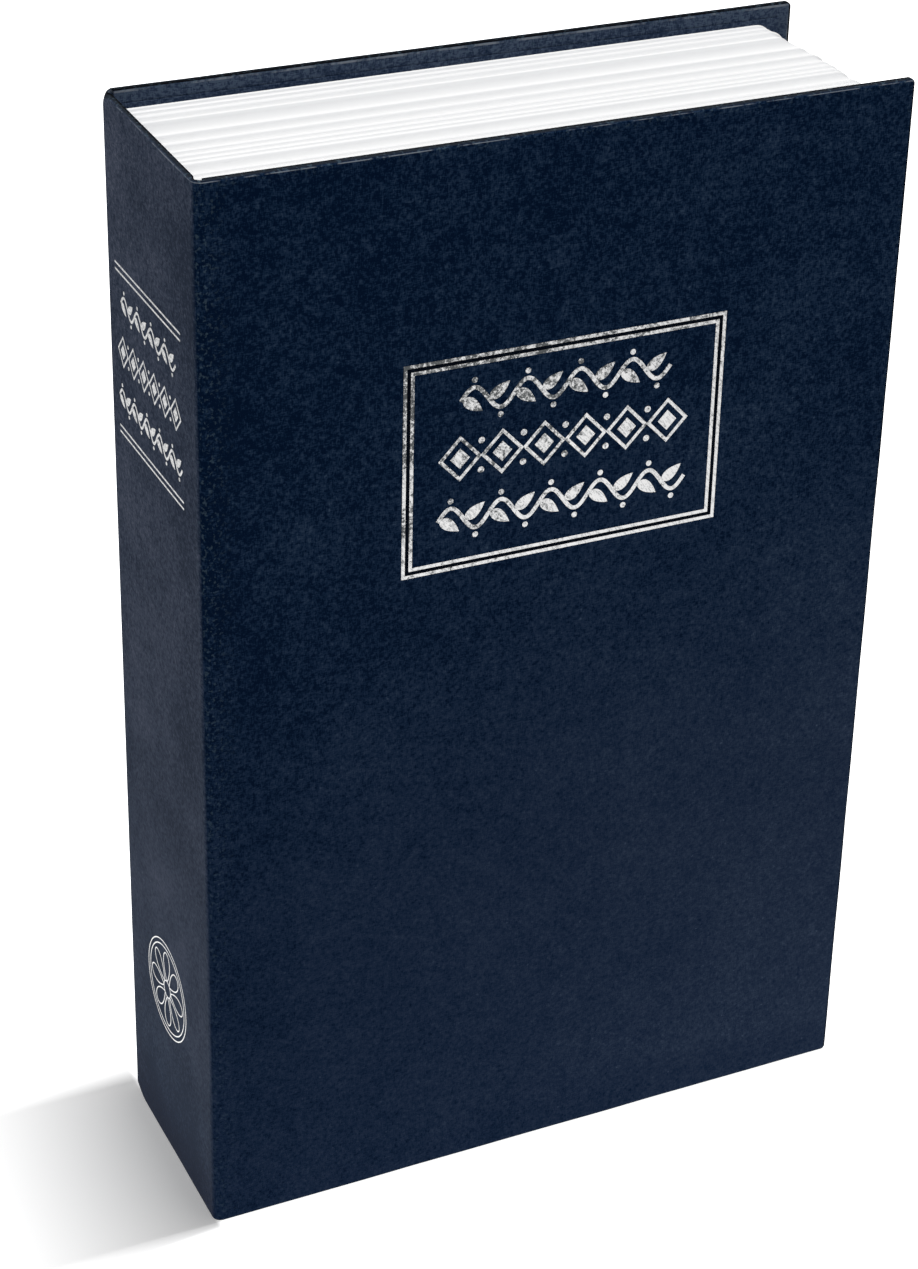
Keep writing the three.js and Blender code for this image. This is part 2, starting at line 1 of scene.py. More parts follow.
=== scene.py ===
# Looks of a book diversion safe: leather-look paper case, fluted page block, steel box with lock inside.
# Metres, in the part's own frame: +X spine to fore edge, +Y front cover to back cover, +Z up.
import math

import bmesh
import bpy
from mathutils import Matrix, Vector, noise


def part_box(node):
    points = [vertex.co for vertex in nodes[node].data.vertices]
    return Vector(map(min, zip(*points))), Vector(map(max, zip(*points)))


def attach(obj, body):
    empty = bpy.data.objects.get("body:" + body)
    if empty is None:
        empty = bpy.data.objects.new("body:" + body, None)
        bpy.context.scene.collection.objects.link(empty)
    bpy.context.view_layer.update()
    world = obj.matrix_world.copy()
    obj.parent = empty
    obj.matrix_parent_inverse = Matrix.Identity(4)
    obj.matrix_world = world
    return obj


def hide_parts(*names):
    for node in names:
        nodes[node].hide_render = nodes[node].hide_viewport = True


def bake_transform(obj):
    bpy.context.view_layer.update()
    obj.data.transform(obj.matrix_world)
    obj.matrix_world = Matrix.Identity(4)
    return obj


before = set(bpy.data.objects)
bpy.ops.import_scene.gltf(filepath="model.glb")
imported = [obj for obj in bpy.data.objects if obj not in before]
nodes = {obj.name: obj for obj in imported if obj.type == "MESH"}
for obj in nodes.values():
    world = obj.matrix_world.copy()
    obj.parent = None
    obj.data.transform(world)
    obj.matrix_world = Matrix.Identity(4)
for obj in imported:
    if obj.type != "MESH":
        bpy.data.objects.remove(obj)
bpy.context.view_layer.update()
mm = 0.001

frontLow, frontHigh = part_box("front_covering")
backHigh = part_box("back_covering")[1]
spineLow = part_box("spine_covering")[0]
pageLow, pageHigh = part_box("page_frame")
frontFace, backFace = frontLow.y, backHigh.y
spineFace, foreFace = spineLow.x, frontHigh.x
boardStart = frontLow.x
bookTop = frontHigh.z
boardBuild = frontHigh.y - frontLow.y


# Meshes

def addPiece(name, points, faces, material):
    mesh = bpy.data.meshes.new(name)
    mesh.from_pydata(points, [], faces)
    mesh.materials.append(material)
    made = bpy.data.objects.new(name, mesh)
    bpy.context.scene.collection.objects.link(made)
    return made


def smooth(piece, degrees=35):
    mesh = piece.data
    mesh.polygons.foreach_set("use_smooth", [True] * len(mesh.polygons))
    mesh.set_sharp_from_angle(angle=math.radians(degrees))


def makePlain(piece):
    # what the modifiers give becomes the piece's own mesh
    graph = bpy.context.evaluated_depsgraph_get()
    mesh = bpy.data.meshes.new_from_object(
        piece.evaluated_get(graph), preserve_all_data_layers=True, depsgraph=graph
    )
    mesh.name = piece.name
    piece.modifiers.clear()
    piece.data = mesh


def storeValues(piece, name, values):
    layer = piece.data.attributes.new(name, "FLOAT", "POINT")
    layer.data.foreach_set("value", values)


def thicken(piece, thickness):
    wall = piece.modifiers.new("wall", "SOLIDIFY")
    wall.thickness = thickness
    wall.offset = -1
    makePlain(piece)


def faceOutwards(piece, weld=0.0):
    shape = bmesh.new()
    shape.from_mesh(piece.data)
    if weld:
        bmesh.ops.remove_doubles(shape, verts=shape.verts, dist=weld)
    bmesh.ops.recalc_face_normals(shape, faces=shape.faces)
    shape.to_mesh(piece.data)
    shape.free()


def ringFaces(rings, count, start=0, closed=True, flip=False):
    # quads between rings of count points each, the first of them at start
    faces = []
    for k in range(rings - 1):
        for i in range(count if closed else count - 1):
            a, b = start + k * count + i, start + k * count + (i + 1) % count
            faces.append((a, a + count, b + count, b) if flip else (a, b, b + count, a + count))
    return faces


def place(piece, body, slot, *replaced):
    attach(piece, body)
    if replaced:
        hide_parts(*replaced)
    return piece


# Node trees, for materials and for Geometry Nodes alike

def addNode(tree, kind, inputs=None, **settings):
    made = tree.nodes.new(kind)
    for key, value in settings.items():
        setattr(made, key, value)
    for key, value in (inputs or {}).items():
        if isinstance(value, bpy.types.NodeSocket):
            tree.links.new(value, made.inputs[key])
        else:
            made.inputs[key].default_value = value
    return made


def mathNode(tree, operation, a, b=0.0, c=0.0, clamp=False):
    kind = "ShaderNodeMath"
    made = addNode(tree, kind, {0: a, 1: b, 2: c}, operation=operation, use_clamp=clamp)
    return made.outputs[0]


def plus(tree, a, b, clamp=False):
    return mathNode(tree, "ADD", a, b, clamp=clamp)


def minus(tree, a, b, clamp=False):
    return mathNode(tree, "SUBTRACT", a, b, clamp=clamp)


def times(tree, a, b, clamp=False):
    return mathNode(tree, "MULTIPLY", a, b, clamp=clamp)


def timesPlus(tree, a, b, c):
    return mathNode(tree, "MULTIPLY_ADD", a, b, c)


def over(tree, a, b, clamp=False):
    return mathNode(tree, "DIVIDE", a, b, clamp=clamp)


def larger(tree, a, b):
    return mathNode(tree, "MAXIMUM", a, b)


def smaller(tree, a, b):
    return mathNode(tree, "MINIMUM", a, b)


def joinXYZ(tree, x=0.0, y=0.0, z=0.0):
    return addNode(tree, "ShaderNodeCombineXYZ", {0: x, 1: y, 2: z}).outputs[0]


def splitXYZ(tree, vector):
    return addNode(tree, "ShaderNodeSeparateXYZ", {0: vector}).outputs


def rampBetween(tree, value, low, high):
    # 0 under low, 1 over high, smooth between
    inputs = {0: value, 1: low, 2: high}
    return addNode(tree, "ShaderNodeMapRange", inputs, interpolation_type="SMOOTHSTEP").outputs[0]


def scaled(tree, value, low, high):
    # 0..1 spread over low..high
    return addNode(tree, "ShaderNodeMapRange", {0: value, 3: low, 4: high}).outputs[0]


def mixColour(tree, share, a, b):
    made = addNode(tree, "ShaderNodeMix", {0: share, 6: a, 7: b}, data_type="RGBA")
    return made.outputs[2]


def rgba(red, green, blue):
    return (red, green, blue, 1.0)


def tinted(tree, colour, share, tintAtNone, tintAtAll):
    tint = mixColour(tree, share, rgba(*tintAtNone), rgba(*tintAtAll))
    return addNode(tree, "ShaderNodeVectorMath", {0: colour, 1: tint}, operation="MULTIPLY").outputs[0]


def attribute(tree, name):
    return addNode(tree, "ShaderNodeAttribute", attribute_name=name).outputs["Fac"]


def newMaterial(name, **fixed):
    # fixed are shader sockets whose value is the same all over, spaces written as _
    material = bpy.data.materials.new(name)
    material.use_nodes = True
    tree = material.node_tree
    tree.nodes.clear()
    shader = addNode(tree, "ShaderNodeBsdfPrincipled")
    addNode(tree, "ShaderNodeOutputMaterial", {0: shader.outputs[0]})
    for key, value in fixed.items():
        shader.inputs[key.replace("_", " ")].default_value = value
    where = addNode(tree, "ShaderNodeTexCoord").outputs["Object"]
    return material, tree, shader, where


def noiseAt(tree, where, perMetre, detail=2.0, rough=0.5, stretch=None):
    # stretch holds how many times finer the pattern is along each axis
    if stretch:
        where = addNode(tree, "ShaderNodeMapping", {0: where, 3: stretch}).outputs[0]
    inputs = {"Vector": where, "Scale": perMetre, "Detail": detail, "Roughness": rough}
    return addNode(tree, "ShaderNodeTexNoise", inputs).outputs[0]


def bumpFrom(tree, shader, height, strength, distance):
    bump = addNode(tree, "ShaderNodeBump", {"Height": height})
    bump.inputs["Strength"].default_value = strength
    bump.inputs["Distance"].default_value = distance
    tree.links.new(bump.outputs[0], shader.inputs["Normal"])


# Materials

untinted = (1.0, 1.0, 1.0)

caseLook = {
    # colours of tones 0, 1, 2 and so on, from deep navy to pale grey
    "tones": (
        (0.0007, 0.0062, 0.0225),
        (0.0056, 0.0160, 0.0420),
        (0.0126, 0.0240, 0.0540),
        (0.0209, 0.0351, 0.0677),
        (0.0345, 0.0520, 0.0930),
        (0.0620, 0.0880, 0.1350),
    ),
    # the spine's colours, lighter and greyer than the covers': painted sheen
    "spineTones": (
        (0.0150, 0.0250, 0.0500),
        (0.0320, 0.0462, 0.0790),
        (0.0550, 0.0690, 0.1100),
        (0.0800, 0.0960, 0.1420),
        (0.1100, 0.1300, 0.1750),
        (0.1500, 0.1700, 0.2100),
    ),
    # the tone at the head, and how much it rises down to the tail and across to the fore edge: painted light
    # from the floor
    "headTone": 0.72,
    "footLightTone": 1.2,
    "footLightFrom": 205 * mm,
    "footLightTo": 65 * mm,
    "footLightLean": 0.3,
    # painted shade: darker along the front joint beside the panel
    "jointTone": -0.8,
    "jointReach": (14 * mm, 1 * mm),
    "jointLow": (132 * mm, 162 * mm),
    "jointHigh": (215 * mm, 182 * mm),
    "tailTone": -0.5,
    "tailHeight": (15 * mm, 4 * mm),
    "tailAcross": (-35 * mm, -5 * mm),
    "leanPerMetre": 10.0,
    "leanAtHead": 0.3,
    # spineTone: the mean tone of the spine's painted sheen
    "spineTone": 1.34,
    # painted shade on the spine: darker towards its foot, most in its lowest part
    "spineFootShade": -0.35,
    "spineFoot": -1.25,
    "spineFootHeight": (-6 * mm, 44 * mm),
    "spineFootJoint": (14 * mm, 3 * mm),
    "spineFootShares": (1.2, 0.5),
    # painted light and shade on the spine's upper part: lighter towards the back joint, darker towards the
    # front
    "spineHead": (0.2, -0.45),
    "spineHeadDepth": (-20 * mm, 10 * mm),
    "spineHeadHeight": (110 * mm, 165 * mm),
    "spineGrain": 0.8,
    "spineClouds": 3.0,
    "spineCloudsPerMetre": 45,
    # painted light from the white page head: the inner face above it is lighter, more so towards the book's
    # top
    "innerTones": (3.9, 4.2),
    # headTint makes the head's outer faces bluer, where the painted floor light is least
    "headTint": (1.0, 1.16, 1.15),
    # footTint and contactShadeTint colour the painted shade at the spine's foot; the last is a painted
    # contact shadow by the floor
    "footTint": (0.92, 1.06, 1.10),
    "contactShadeTint": (0.23, 0.31, 0.48),
    "contactHeight": (-4 * mm, 22 * mm),
    # noise layers as (patterns per metre, strength in tones)
    "layers": ((1150, 3.3), (560, 1.3), (280, 0.9), (140, 0.85), (34, 1.4)),
    "fibresPerMetre": 1900,
    "fibreTone": 5.4,
    "fibreStretch": 1.8,
    "fibreRough": (0.55, 0.75),
    "fibreBump": (0.35, 0.00012),
    # how the spine's colours give way to the covers' at its two corners
    "roundedReach": (0.05 * mm, 0.45 * mm),
    "behindReach": (1.9 * mm, 1.1 * mm),
    "lightStrength": 0.54,
    "fleckPerMetre": 900,
    "fleckLimits": (0.70, 0.80),
    "fleckTone": 1.6,
    # shares of side, which runs from 0 on the outer face over 1 to 2 on the inner
    "edgeFrom": (0.15, 0.5),
    "edgeTo": (1.6, 1.9),
    # edgeDark: where the edge turns near black towards the inner arris, painted shade
    "edgeDark": (0.65, 1.15),
    "spineEdgeShift": -0.35,
    "innerFrom": (1.4, 2.0),
    "edgeOuter": (0.0130, 0.0165, 0.0230),
    "edgeInner": (0.0022, 0.0030, 0.0045),
    "spineEdge": (0.0500, 0.0600, 0.0720),
    # rim: a near-black line along the fore edge and the foot, painted shade
    "rim": (0.0032, 0.0038, 0.0046),
    "rimReach": (0.75 * mm, 0.45 * mm),
    "rimHeight": (0.25 * mm, 0.6 * mm),
    "rimShares": (0.9, 0.6),
    "specksPerMetre": 1250,
    "speckLimits": (0.54, 0.67),
    "speckShare": 0.65,
    "footSpecks": 0.35,
    # a pale broken line on the arrises where wear is high: rubbed wear and painted highlight
    "rubGlintsPerMetre": 130,
    "rubGlintLimits": (0.43, 0.56),
    "rubGlintShare": 0.7,
    "rubGlintWear": (0.80, 0.98),
    "speck": (0.0700, 0.1120, 0.1500),
    "rubbedGlint": (0.2400, 0.2650, 0.3000),
}


def toneColour(tree, tone, colours):
    # the colours evenly spaced along a ramp, one for each whole tone
    steps = len(colours) - 1
    made = addNode(tree, "ShaderNodeValToRGB", {0: over(tree, tone, steps, clamp=True)})
    ramp = made.color_ramp.elements
    ramp[0].color, ramp[1].color = rgba(*colours[0]), rgba(*colours[-1])
    for k in range(1, steps):
        ramp.new(k / steps).color = rgba(*colours[k])
    return made.outputs[0]


def paperTone(tree, where, look, floorLightShare):
    # the mean tone over the book, in front of any texture; its rise towards the tail and the fore edge is
    # painted light from the floor
    x, _, z = splitXYZ(tree, where)
    tone = timesPlus(tree, floorLightShare, look["footLightTone"], look["headTone"])
    lean = times(tree, x, look["leanPerMetre"])
    lean = times(tree, lean, scaled(tree, floorLightShare, look["leanAtHead"], 1.0))
    tone = plus(tree, tone, lean)
    # painted shade: darker along the joint beside the panel; darker along the tail too
    far, near = look["jointReach"]
    joint = rampBetween(tree, x, boardStart + far, boardStart + near)
    joint = times(tree, joint, rampBetween(tree, z, *look["jointLow"]))
    joint = times(tree, joint, rampBetween(tree, z, *look["jointHigh"]))
    tone = timesPlus(tree, joint, look["jointTone"], tone)
    low = rampBetween(tree, z, *look["tailHeight"])
    tail = times(tree, low, rampBetween(tree, x, *look["tailAcross"]))
    return timesPlus(tree, tail, look["tailTone"], tone)


def paperGrain(tree, where, look):
    # crossing fibres over ever wider mottle, in tones to either side of none
    stretch = look["fibreStretch"]
    rate = look["fibresPerMetre"]
    across = noiseAt(tree, where, rate, 1, 0.6, (1 / stretch, 1 / stretch, stretch))
    upright = noiseAt(tree, where, rate, 1, 0.6, (stretch, stretch, 1 / stretch))
    fibres = plus(tree, plus(tree, across, upright), -1.0)
    total = times(tree, fibres, look["fibreTone"])
    for perMetre, strength in look["layers"]:
        layer = plus(tree, noiseAt(tree, where, perMetre, 0.0), -0.5)
        total = timesPlus(tree, layer, strength, total)
    return total, fibres


def wornEdges(tree, where, colour, look, spineShare, floorLightShare):
    # side is 0 on the outer face, 1 on the edge of the board and 2 on its inner face
    side = attribute(tree, "side")
    wear = attribute(tree, "wear")
    outer = mixColour(tree, spineShare, rgba(*look["edgeOuter"]), rgba(*look["spineEdge"]))
    across = timesPlus(tree, spineShare, look["spineEdgeShift"], side)
    # the edge band turns near black towards its inner arris: painted shade
    edge = mixColour(tree, rampBetween(tree, across, *look["edgeDark"]), outer, rgba(*look["edgeInner"]))
    past = rampBetween(tree, side, *look["edgeTo"])
    onEdge = minus(tree, rampBetween(tree, side, *look["edgeFrom"]), past)
    colour = mixColour(tree, onEdge, colour, edge)
    # specks where wear is high: wear, and on the turned-in margin also painted light from the page head
    specks = noiseAt(tree, where, look["specksPerMetre"], 2, 0.6)
    speckled = times(tree, rampBetween(tree, specks, *look["speckLimits"]), wear)
    speckled = times(tree, speckled, scaled(tree, floorLightShare, 1.0, look["footSpecks"]))
    colour = mixColour(tree, times(tree, speckled, look["speckShare"]), colour, rgba(*look["speck"]))
    # a pale broken line on the arrises: rubbed wear and painted highlight
    broken = rampBetween(tree, noiseAt(tree, where, look["rubGlintsPerMetre"], 5, 0.7), *look["rubGlintLimits"])
    line = times(tree, rampBetween(tree, wear, *look["rubGlintWear"]), broken)
    colour = mixColour(tree, times(tree, line, look["rubGlintShare"]), colour, rgba(*look["rubbedGlint"]))
    # painted shade: a near-black rim along the fore edge and the foot
    x, _, z = splitXYZ(tree, where)
    far, near = look["rimReach"]
    rim = rampBetween(tree, x, foreFace - far, foreFace - near)
    rim = larger(tree, rim, minus(tree, 1.0, rampBetween(tree, z, *look["rimHeight"])))
    rimShare = times(tree, rim, scaled(tree, floorLightShare, *look["rimShares"]))
    return mixColour(tree, rimShare, colour, rgba(*look["rim"]))


def leatherPaper(name, look, pressed=None):
    # embossed paper; painted light from the floor makes it lighter and greyer towards its foot, and painted
    # sheen makes the spine lighter and greyer
    material, tree, shader, where = newMaterial(name, Specular_IOR_Level=0.012)
    x, y, z = splitXYZ(tree, where)
    # floorLightShare runs from 0 at the head to 1 at the foot: how much painted light from the floor the
    # paper takes
    toSpine = larger(tree, times(tree, x, -look["footLightLean"]), 0.0)
    floorLightShare = rampBetween(tree, plus(tree, z, toSpine), look["footLightTo"], look["footLightFrom"])
    floorLightShare = minus(tree, 1.0, floorLightShare)
    grain, fibres = paperGrain(tree, where, look)
    strength = scaled(tree, floorLightShare, 1.0, look["lightStrength"])
    dots = rampBetween(tree, noiseAt(tree, where, look["fleckPerMetre"], 1, 0.5), *look["fleckLimits"])
    grain = times(tree, grain, strength)
    grain = timesPlus(tree, dots, look["fleckTone"], grain)
    inner = rampBetween(tree, attribute(tree, "side"), *look["innerFrom"])
    base = paperTone(tree, where, look, floorLightShare)
    # the inner face takes innerTones: painted light from the page head, lighter towards the book's top
    toHead = rampBetween(tree, z, pageHigh.z, bookTop)
    base = addNode(tree, "ShaderNodeMix", {0: inner, 2: base, 3: scaled(tree, toHead, *look["innerTones"])})
    colour = toneColour(tree, plus(tree, base.outputs[0], grain), look["tones"])
    # headTint makes the head's outer faces bluer, where the painted floor light is least
    plain = larger(tree, floorLightShare, inner)
    colour = tinted(tree, colour, plain, look["headTint"], untinted)
    # the spine's tone: its painted sheen, darker towards the foot with painted shade
    spineBase = timesPlus(tree, floorLightShare, look["spineFootShade"], look["spineTone"])
    # painted shade in the spine's lowest part, weaker towards the joints
    foot = minus(tree, 1.0, rampBetween(tree, z, *look["spineFootHeight"]))
    far, near = look["spineFootJoint"]
    toJoint = rampBetween(tree, mathNode(tree, "ABSOLUTE", y), backFace - far, backFace - near)
    foot = times(tree, foot, scaled(tree, toJoint, *look["spineFootShares"]))
    spineBase = timesPlus(tree, foot, look["spineFoot"], spineBase)
    # painted light and shade on the spine's upper part: lighter towards the back, darker towards the front
    forward = minus(tree, 1.0, rampBetween(tree, y, *look["spineHeadDepth"]))
    upper = scaled(tree, forward, *look["spineHead"])
    upper = times(tree, upper, rampBetween(tree, z, *look["spineHeadHeight"]))
    spineBase = plus(tree, upper, spineBase)
    clouds = plus(tree, noiseAt(tree, where, look["spineCloudsPerMetre"], 2), -0.5)
    spineBase = timesPlus(tree, clouds, look["spineClouds"], spineBase)
    spineTone = timesPlus(tree, grain, look["spineGrain"], spineBase)
    spine = toneColour(tree, spineTone, look["spineTones"])
    spine = tinted(tree, spine, foot, untinted, look["footTint"])
    # painted contact shadow along the spine's foot
    contactShade = minus(tree, 1.0, rampBetween(tree, z, *look["contactHeight"]))
    spine = tinted(tree, spine, contactShade, untinted, look["contactShadeTint"])
    near, far = look["roundedReach"]
    rounded = rampBetween(tree, x, spineFace + near, spineFace + far)
    far, near = look["behindReach"]
    behind = rampBetween(tree, y, backFace - far, backFace - near)
    # spineShare: where the spine's painted-sheen colours take over from the covers'
    spineShare = minus(tree, 1.0, larger(tree, rounded, behind))
    colour = mixColour(tree, spineShare, colour, spine)
    if pressed:
        colour = pressed(tree, where, colour)
    colour = wornEdges(tree, where, colour, look, spineShare, floorLightShare)
    tree.links.new(colour, shader.inputs["Base Color"])
    tree.links.new(scaled(tree, fibres, *look["fibreRough"]), shader.inputs["Roughness"])
    bumpFrom(tree, shader, fibres, *look["fibreBump"])
    return material


plasticLook = {
    "white": (0.785, 0.785, 0.785),
    # cleft: the grey of the painted shade in the clefts
    "cleft": (0.555, 0.56, 0.57),
    "bands": (330, 2, 0.5, (0.02, 1.0, 0.02)),
    "bandShades": (0.8, 1.2),
    "leaves": (1000, 3, 0.7, (0.02, 2.2, 0.02)),
    "leafLimits": (0.54, 0.66),
    "leafShare": 0.18,
    "satin": (500, 3, 0.6),
    "rough": (0.38, 0.55),
    "bump": (0.05, 0.0001),
}


def whitePlastic(look):
    # satin white moulding; the groove attribute darkens the clefts between leaf groups with painted shade
    material, tree, shader, where = newMaterial("whitePlastic", Specular_IOR_Level=0.35)
    groove = attribute(tree, "groove")
    bands = noiseAt(tree, where, *look["bands"])
    leaves = noiseAt(tree, where, *look["leaves"])
    shade = times(tree, groove, scaled(tree, bands, *look["bandShades"]))
    lines = times(tree, rampBetween(tree, leaves, *look["leafLimits"]), look["leafShare"])
    # painted cleft shade, or the fine grey leaf lines where those are darker
    cleftShadeAndLines = larger(tree, shade, lines)
    cleftShadeAndLines = times(tree, cleftShadeAndLines, attribute(tree, "fluted"), clamp=True)
    colour = mixColour(tree, cleftShadeAndLines, rgba(*look["white"]), rgba(*look["cleft"]))
    tree.links.new(colour, shader.inputs["Base Color"])
    satin = noiseAt(tree, where, *look["satin"])
    tree.links.new(scaled(tree, satin, *look["rough"]), shader.inputs["Roughness"])
    bumpFrom(tree, shader, satin, *look["bump"])
    return material


foilLook = {
    "bright": (1.0, 1.0, 1.0),
    "dull": (0.52, 0.53, 0.54),
    "bare": (0.090, 0.100, 0.105),
    "flakes": (1500, 4, 0.7),
    "patches": (260, 3, 0.6),
    "patchShare": 0.5,
    "hatch": (1500, 2, 0.7, (2.2, 1.0, 0.6)),
    "hatchTurn": 38,
    "hatchLimits": (0.36, 0.58),
    # how fast wear grows per metre up the book and towards the spine; the same rates give the painted
    # reflection, brighter towards the lower right
    "wearAndShineUp": 4.0,
    "wearAndShineAcross": 2.2,
    "wearFrom": 0.70,
    "brightFrom": 0.88,
    "rough": (0.25, 0.5),
    "bump": (0.25, 0.00008),
}


def silverFoil(name, look, wornLow, wornHigh):
    # stamped foil with a fine hatched grain, flaked off in specks; more is gone towards the upper left, and
    # painted reflection makes it brighter towards the lower right
    material, tree, shader, where = newMaterial(name, Specular_IOR_Level=0.5)
    flakes = noiseAt(tree, where, *look["flakes"])
    patches = noiseAt(tree, where, *look["patches"])
    turn = (0.0, math.radians(look["hatchTurn"]), 0.0)
    turned = addNode(tree, "ShaderNodeMapping", {0: where, 2: turn}).outputs[0]
    hatch = noiseAt(tree, turned, *look["hatch"])
    x, _, z = splitXYZ(tree, where)
    lean = minus(tree, times(tree, z, look["wearAndShineUp"]), times(tree, x, look["wearAndShineAcross"]))
    worn = plus(tree, times(tree, patches, look["patchShare"]), flakes)
    worn = plus(tree, worn, minus(tree, lean, look["wearFrom"]))
    gone = rampBetween(tree, worn, wornLow, wornHigh)
    hatched = rampBetween(tree, hatch, *look["hatchLimits"])
    # painted reflection: the silver brightens towards the lower right
    grain = plus(tree, hatched, minus(tree, look["brightFrom"], lean))
    grain = smaller(tree, larger(tree, grain, 0.0), 1.0)
    silver = mixColour(tree, grain, rgba(*look["dull"]), rgba(*look["bright"]))
    colour = mixColour(tree, gone, silver, rgba(*look["bare"]))
    tree.links.new(colour, shader.inputs["Base Color"])
    tree.links.new(minus(tree, 1.0, gone, clamp=True), shader.inputs["Metallic"])
    tree.links.new(scaled(tree, patches, *look["rough"]), shader.inputs["Roughness"])
    bumpFrom(tree, shader, flakes, *look["bump"])
    return material


finishes = {
    # layers of grey pulp along the board's faces
    "greyBoard": {
        "fixed": {"Specular_IOR_Level": 0.2, "Roughness": 0.95},
        "grain": (900, 3, 0.6, (0.2, 2.0, 0.2)),
        "colours": ((0.20, 0.17, 0.13), (0.36, 0.32, 0.26)),
        "bump": (0.4, 0.0002),
    },
    # black powder coat with its fine orange peel
    "powderPaint": {
        "fixed": {"Specular_IOR_Level": 0.45},
        "grain": (750, 2, 0.5),
        "mottle": (2600, 2, 0.6),
        "colours": ((0.016, 0.017, 0.019), (0.034, 0.036, 0.040)),
        "rough": (0.42, 0.60),
        "bump": (0.22, 0.00035),
    },
    # bright zinc on rolled sheet, drawn lines along the book's height
    "zincPlate": {
        "fixed": {"Metallic": 1.0, "Anisotropic": 0.4},
        "grain": (1100, 3, 0.6, (2.5, 2.5, 0.05)),
        "mottle": (130, 4, 0.6),
        "colours": ((0.44, 0.45, 0.47), (0.62, 0.63, 0.64)),
        "rough": (0.26, 0.46),
        "bump": (0.08, 0.0001),
    },
    # polished chrome with fine turning rings round the lock's axis
    "lockChrome": {
        "fixed": {"Metallic": 1.0},
        "turnedAbout": "lock_body",
        "grain": (5200, 2, 0.6),
        "mottle": (240, 3, 0.6),
        "colours": ((0.72, 0.73, 0.75), (0.82, 0.83, 0.84)),
        "rough": (0.08, 0.20),
        "bump": (0.06, 0.00005),
    },
}


def fromAxis(tree, where, node):
    # distance from the node's middle line along Y, as a vector
    low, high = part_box(node)
    centre = (low + high) / 2
    x, _, z = splitXYZ(tree, where)
    dx, dz = minus(tree, x, centre.x), minus(tree, z, centre.z)
    square = plus(tree, times(tree, dx, dx), times(tree, dz, dz))
    return joinXYZ(tree, mathNode(tree, "SQRT", square))


def grainedFinish(name):
    # the mottle shifts the colour, the grain gives roughness and relief
    look = finishes[name]
    material, tree, shader, where = newMaterial(name, **look["fixed"])
    grainWhere = fromAxis(tree, where, look["turnedAbout"]) if "turnedAbout" in look else where
    grain = noiseAt(tree, grainWhere, *look["grain"])
    mottle = noiseAt(tree, where, *look["mottle"]) if "mottle" in look else grain
    dark, light = look["colours"]
    tree.links.new(mixColour(tree, mottle, rgba(*dark), rgba(*light)), shader.inputs["Base Color"])
    if "rough" in look:
        tree.links.new(scaled(tree, grain, *look["rough"]), shader.inputs["Roughness"])
    bumpFrom(tree, shader, grain, *look["bump"])
    return material


# Stamped panel on the front cover and its companion on the spine

panel = {
    "centreX": 0.9 * mm,
    "centreZ": 172.9 * mm,
    "halfWidth": 35.2 * mm,
    "halfHeight": 23.35 * mm,
    "line": 0.75 * mm,
    "gap": 0.8 * mm,
    # the paper between the lines: burnished, and painted recess shade
    "burnishAndShade": (0.0008, 0.0012, 0.0022),
    "burnishShadeReach": 0.12 * mm,
    "burnishShadeFrom": 0.82,
    "burnishShadeShare": 0.85,
    "rowHeights": (186.6 * mm, 174.2 * mm, 160.9 * mm),
}


def pressedPanel(tree, where, colour):
    # burnishing and painted recess shade make the paper between the two stamped lines almost black
    x, y, z = splitXYZ(tree, where)
    across = mathNode(tree, "ABSOLUTE", minus(tree, x, panel["centreX"]))
    upright = mathNode(tree, "ABSOLUTE", minus(tree, z, panel["centreZ"]))
    across = minus(tree, across, panel["halfWidth"])
    upright = minus(tree, upright, panel["halfHeight"])
    edge = larger(tree, across, upright)
    middle = panel["line"] + panel["gap"] / 2
    away = mathNode(tree, "ABSOLUTE", plus(tree, edge, middle))
    reach = middle + panel["burnishShadeReach"]
    inside = minus(tree, 1.0, rampBetween(tree, away, reach * panel["burnishShadeFrom"], reach))
    facing = mathNode(tree, "LESS_THAN", y, 0.0)
    dark = times(tree, times(tree, inside, panel["burnishShadeShare"]), facing)
    return mixColour(tree, dark, colour, rgba(*panel["burnishAndShade"]))


casePaper = leatherPaper("casePaper", caseLook)
frontPaper = leatherPaper("frontPaper", caseLook, pressedPanel)
liningLook = dict(caseLook, headTone=3.6, footLightTone=-0.3, leanPerMetre=2.0, jointTone=0.0, headTint=untinted)
lining = leatherPaper("liningPaper", liningLook)
board = grainedFinish("greyBoard")
plastic = whitePlastic(plasticLook)
panelFoil = silverFoil("panelFoil", foilLook, 0.74, 0.92)
spineFoil = silverFoil("spineFoil", foilLook, 1.25, 1.45)
paint = grainedFinish("powderPaint")
zinc = grainedFinish("zincPlate")
chrome = grainedFinish("lockChrome")
print("materials made")


# Case: one embossed sheet drawn over three boards

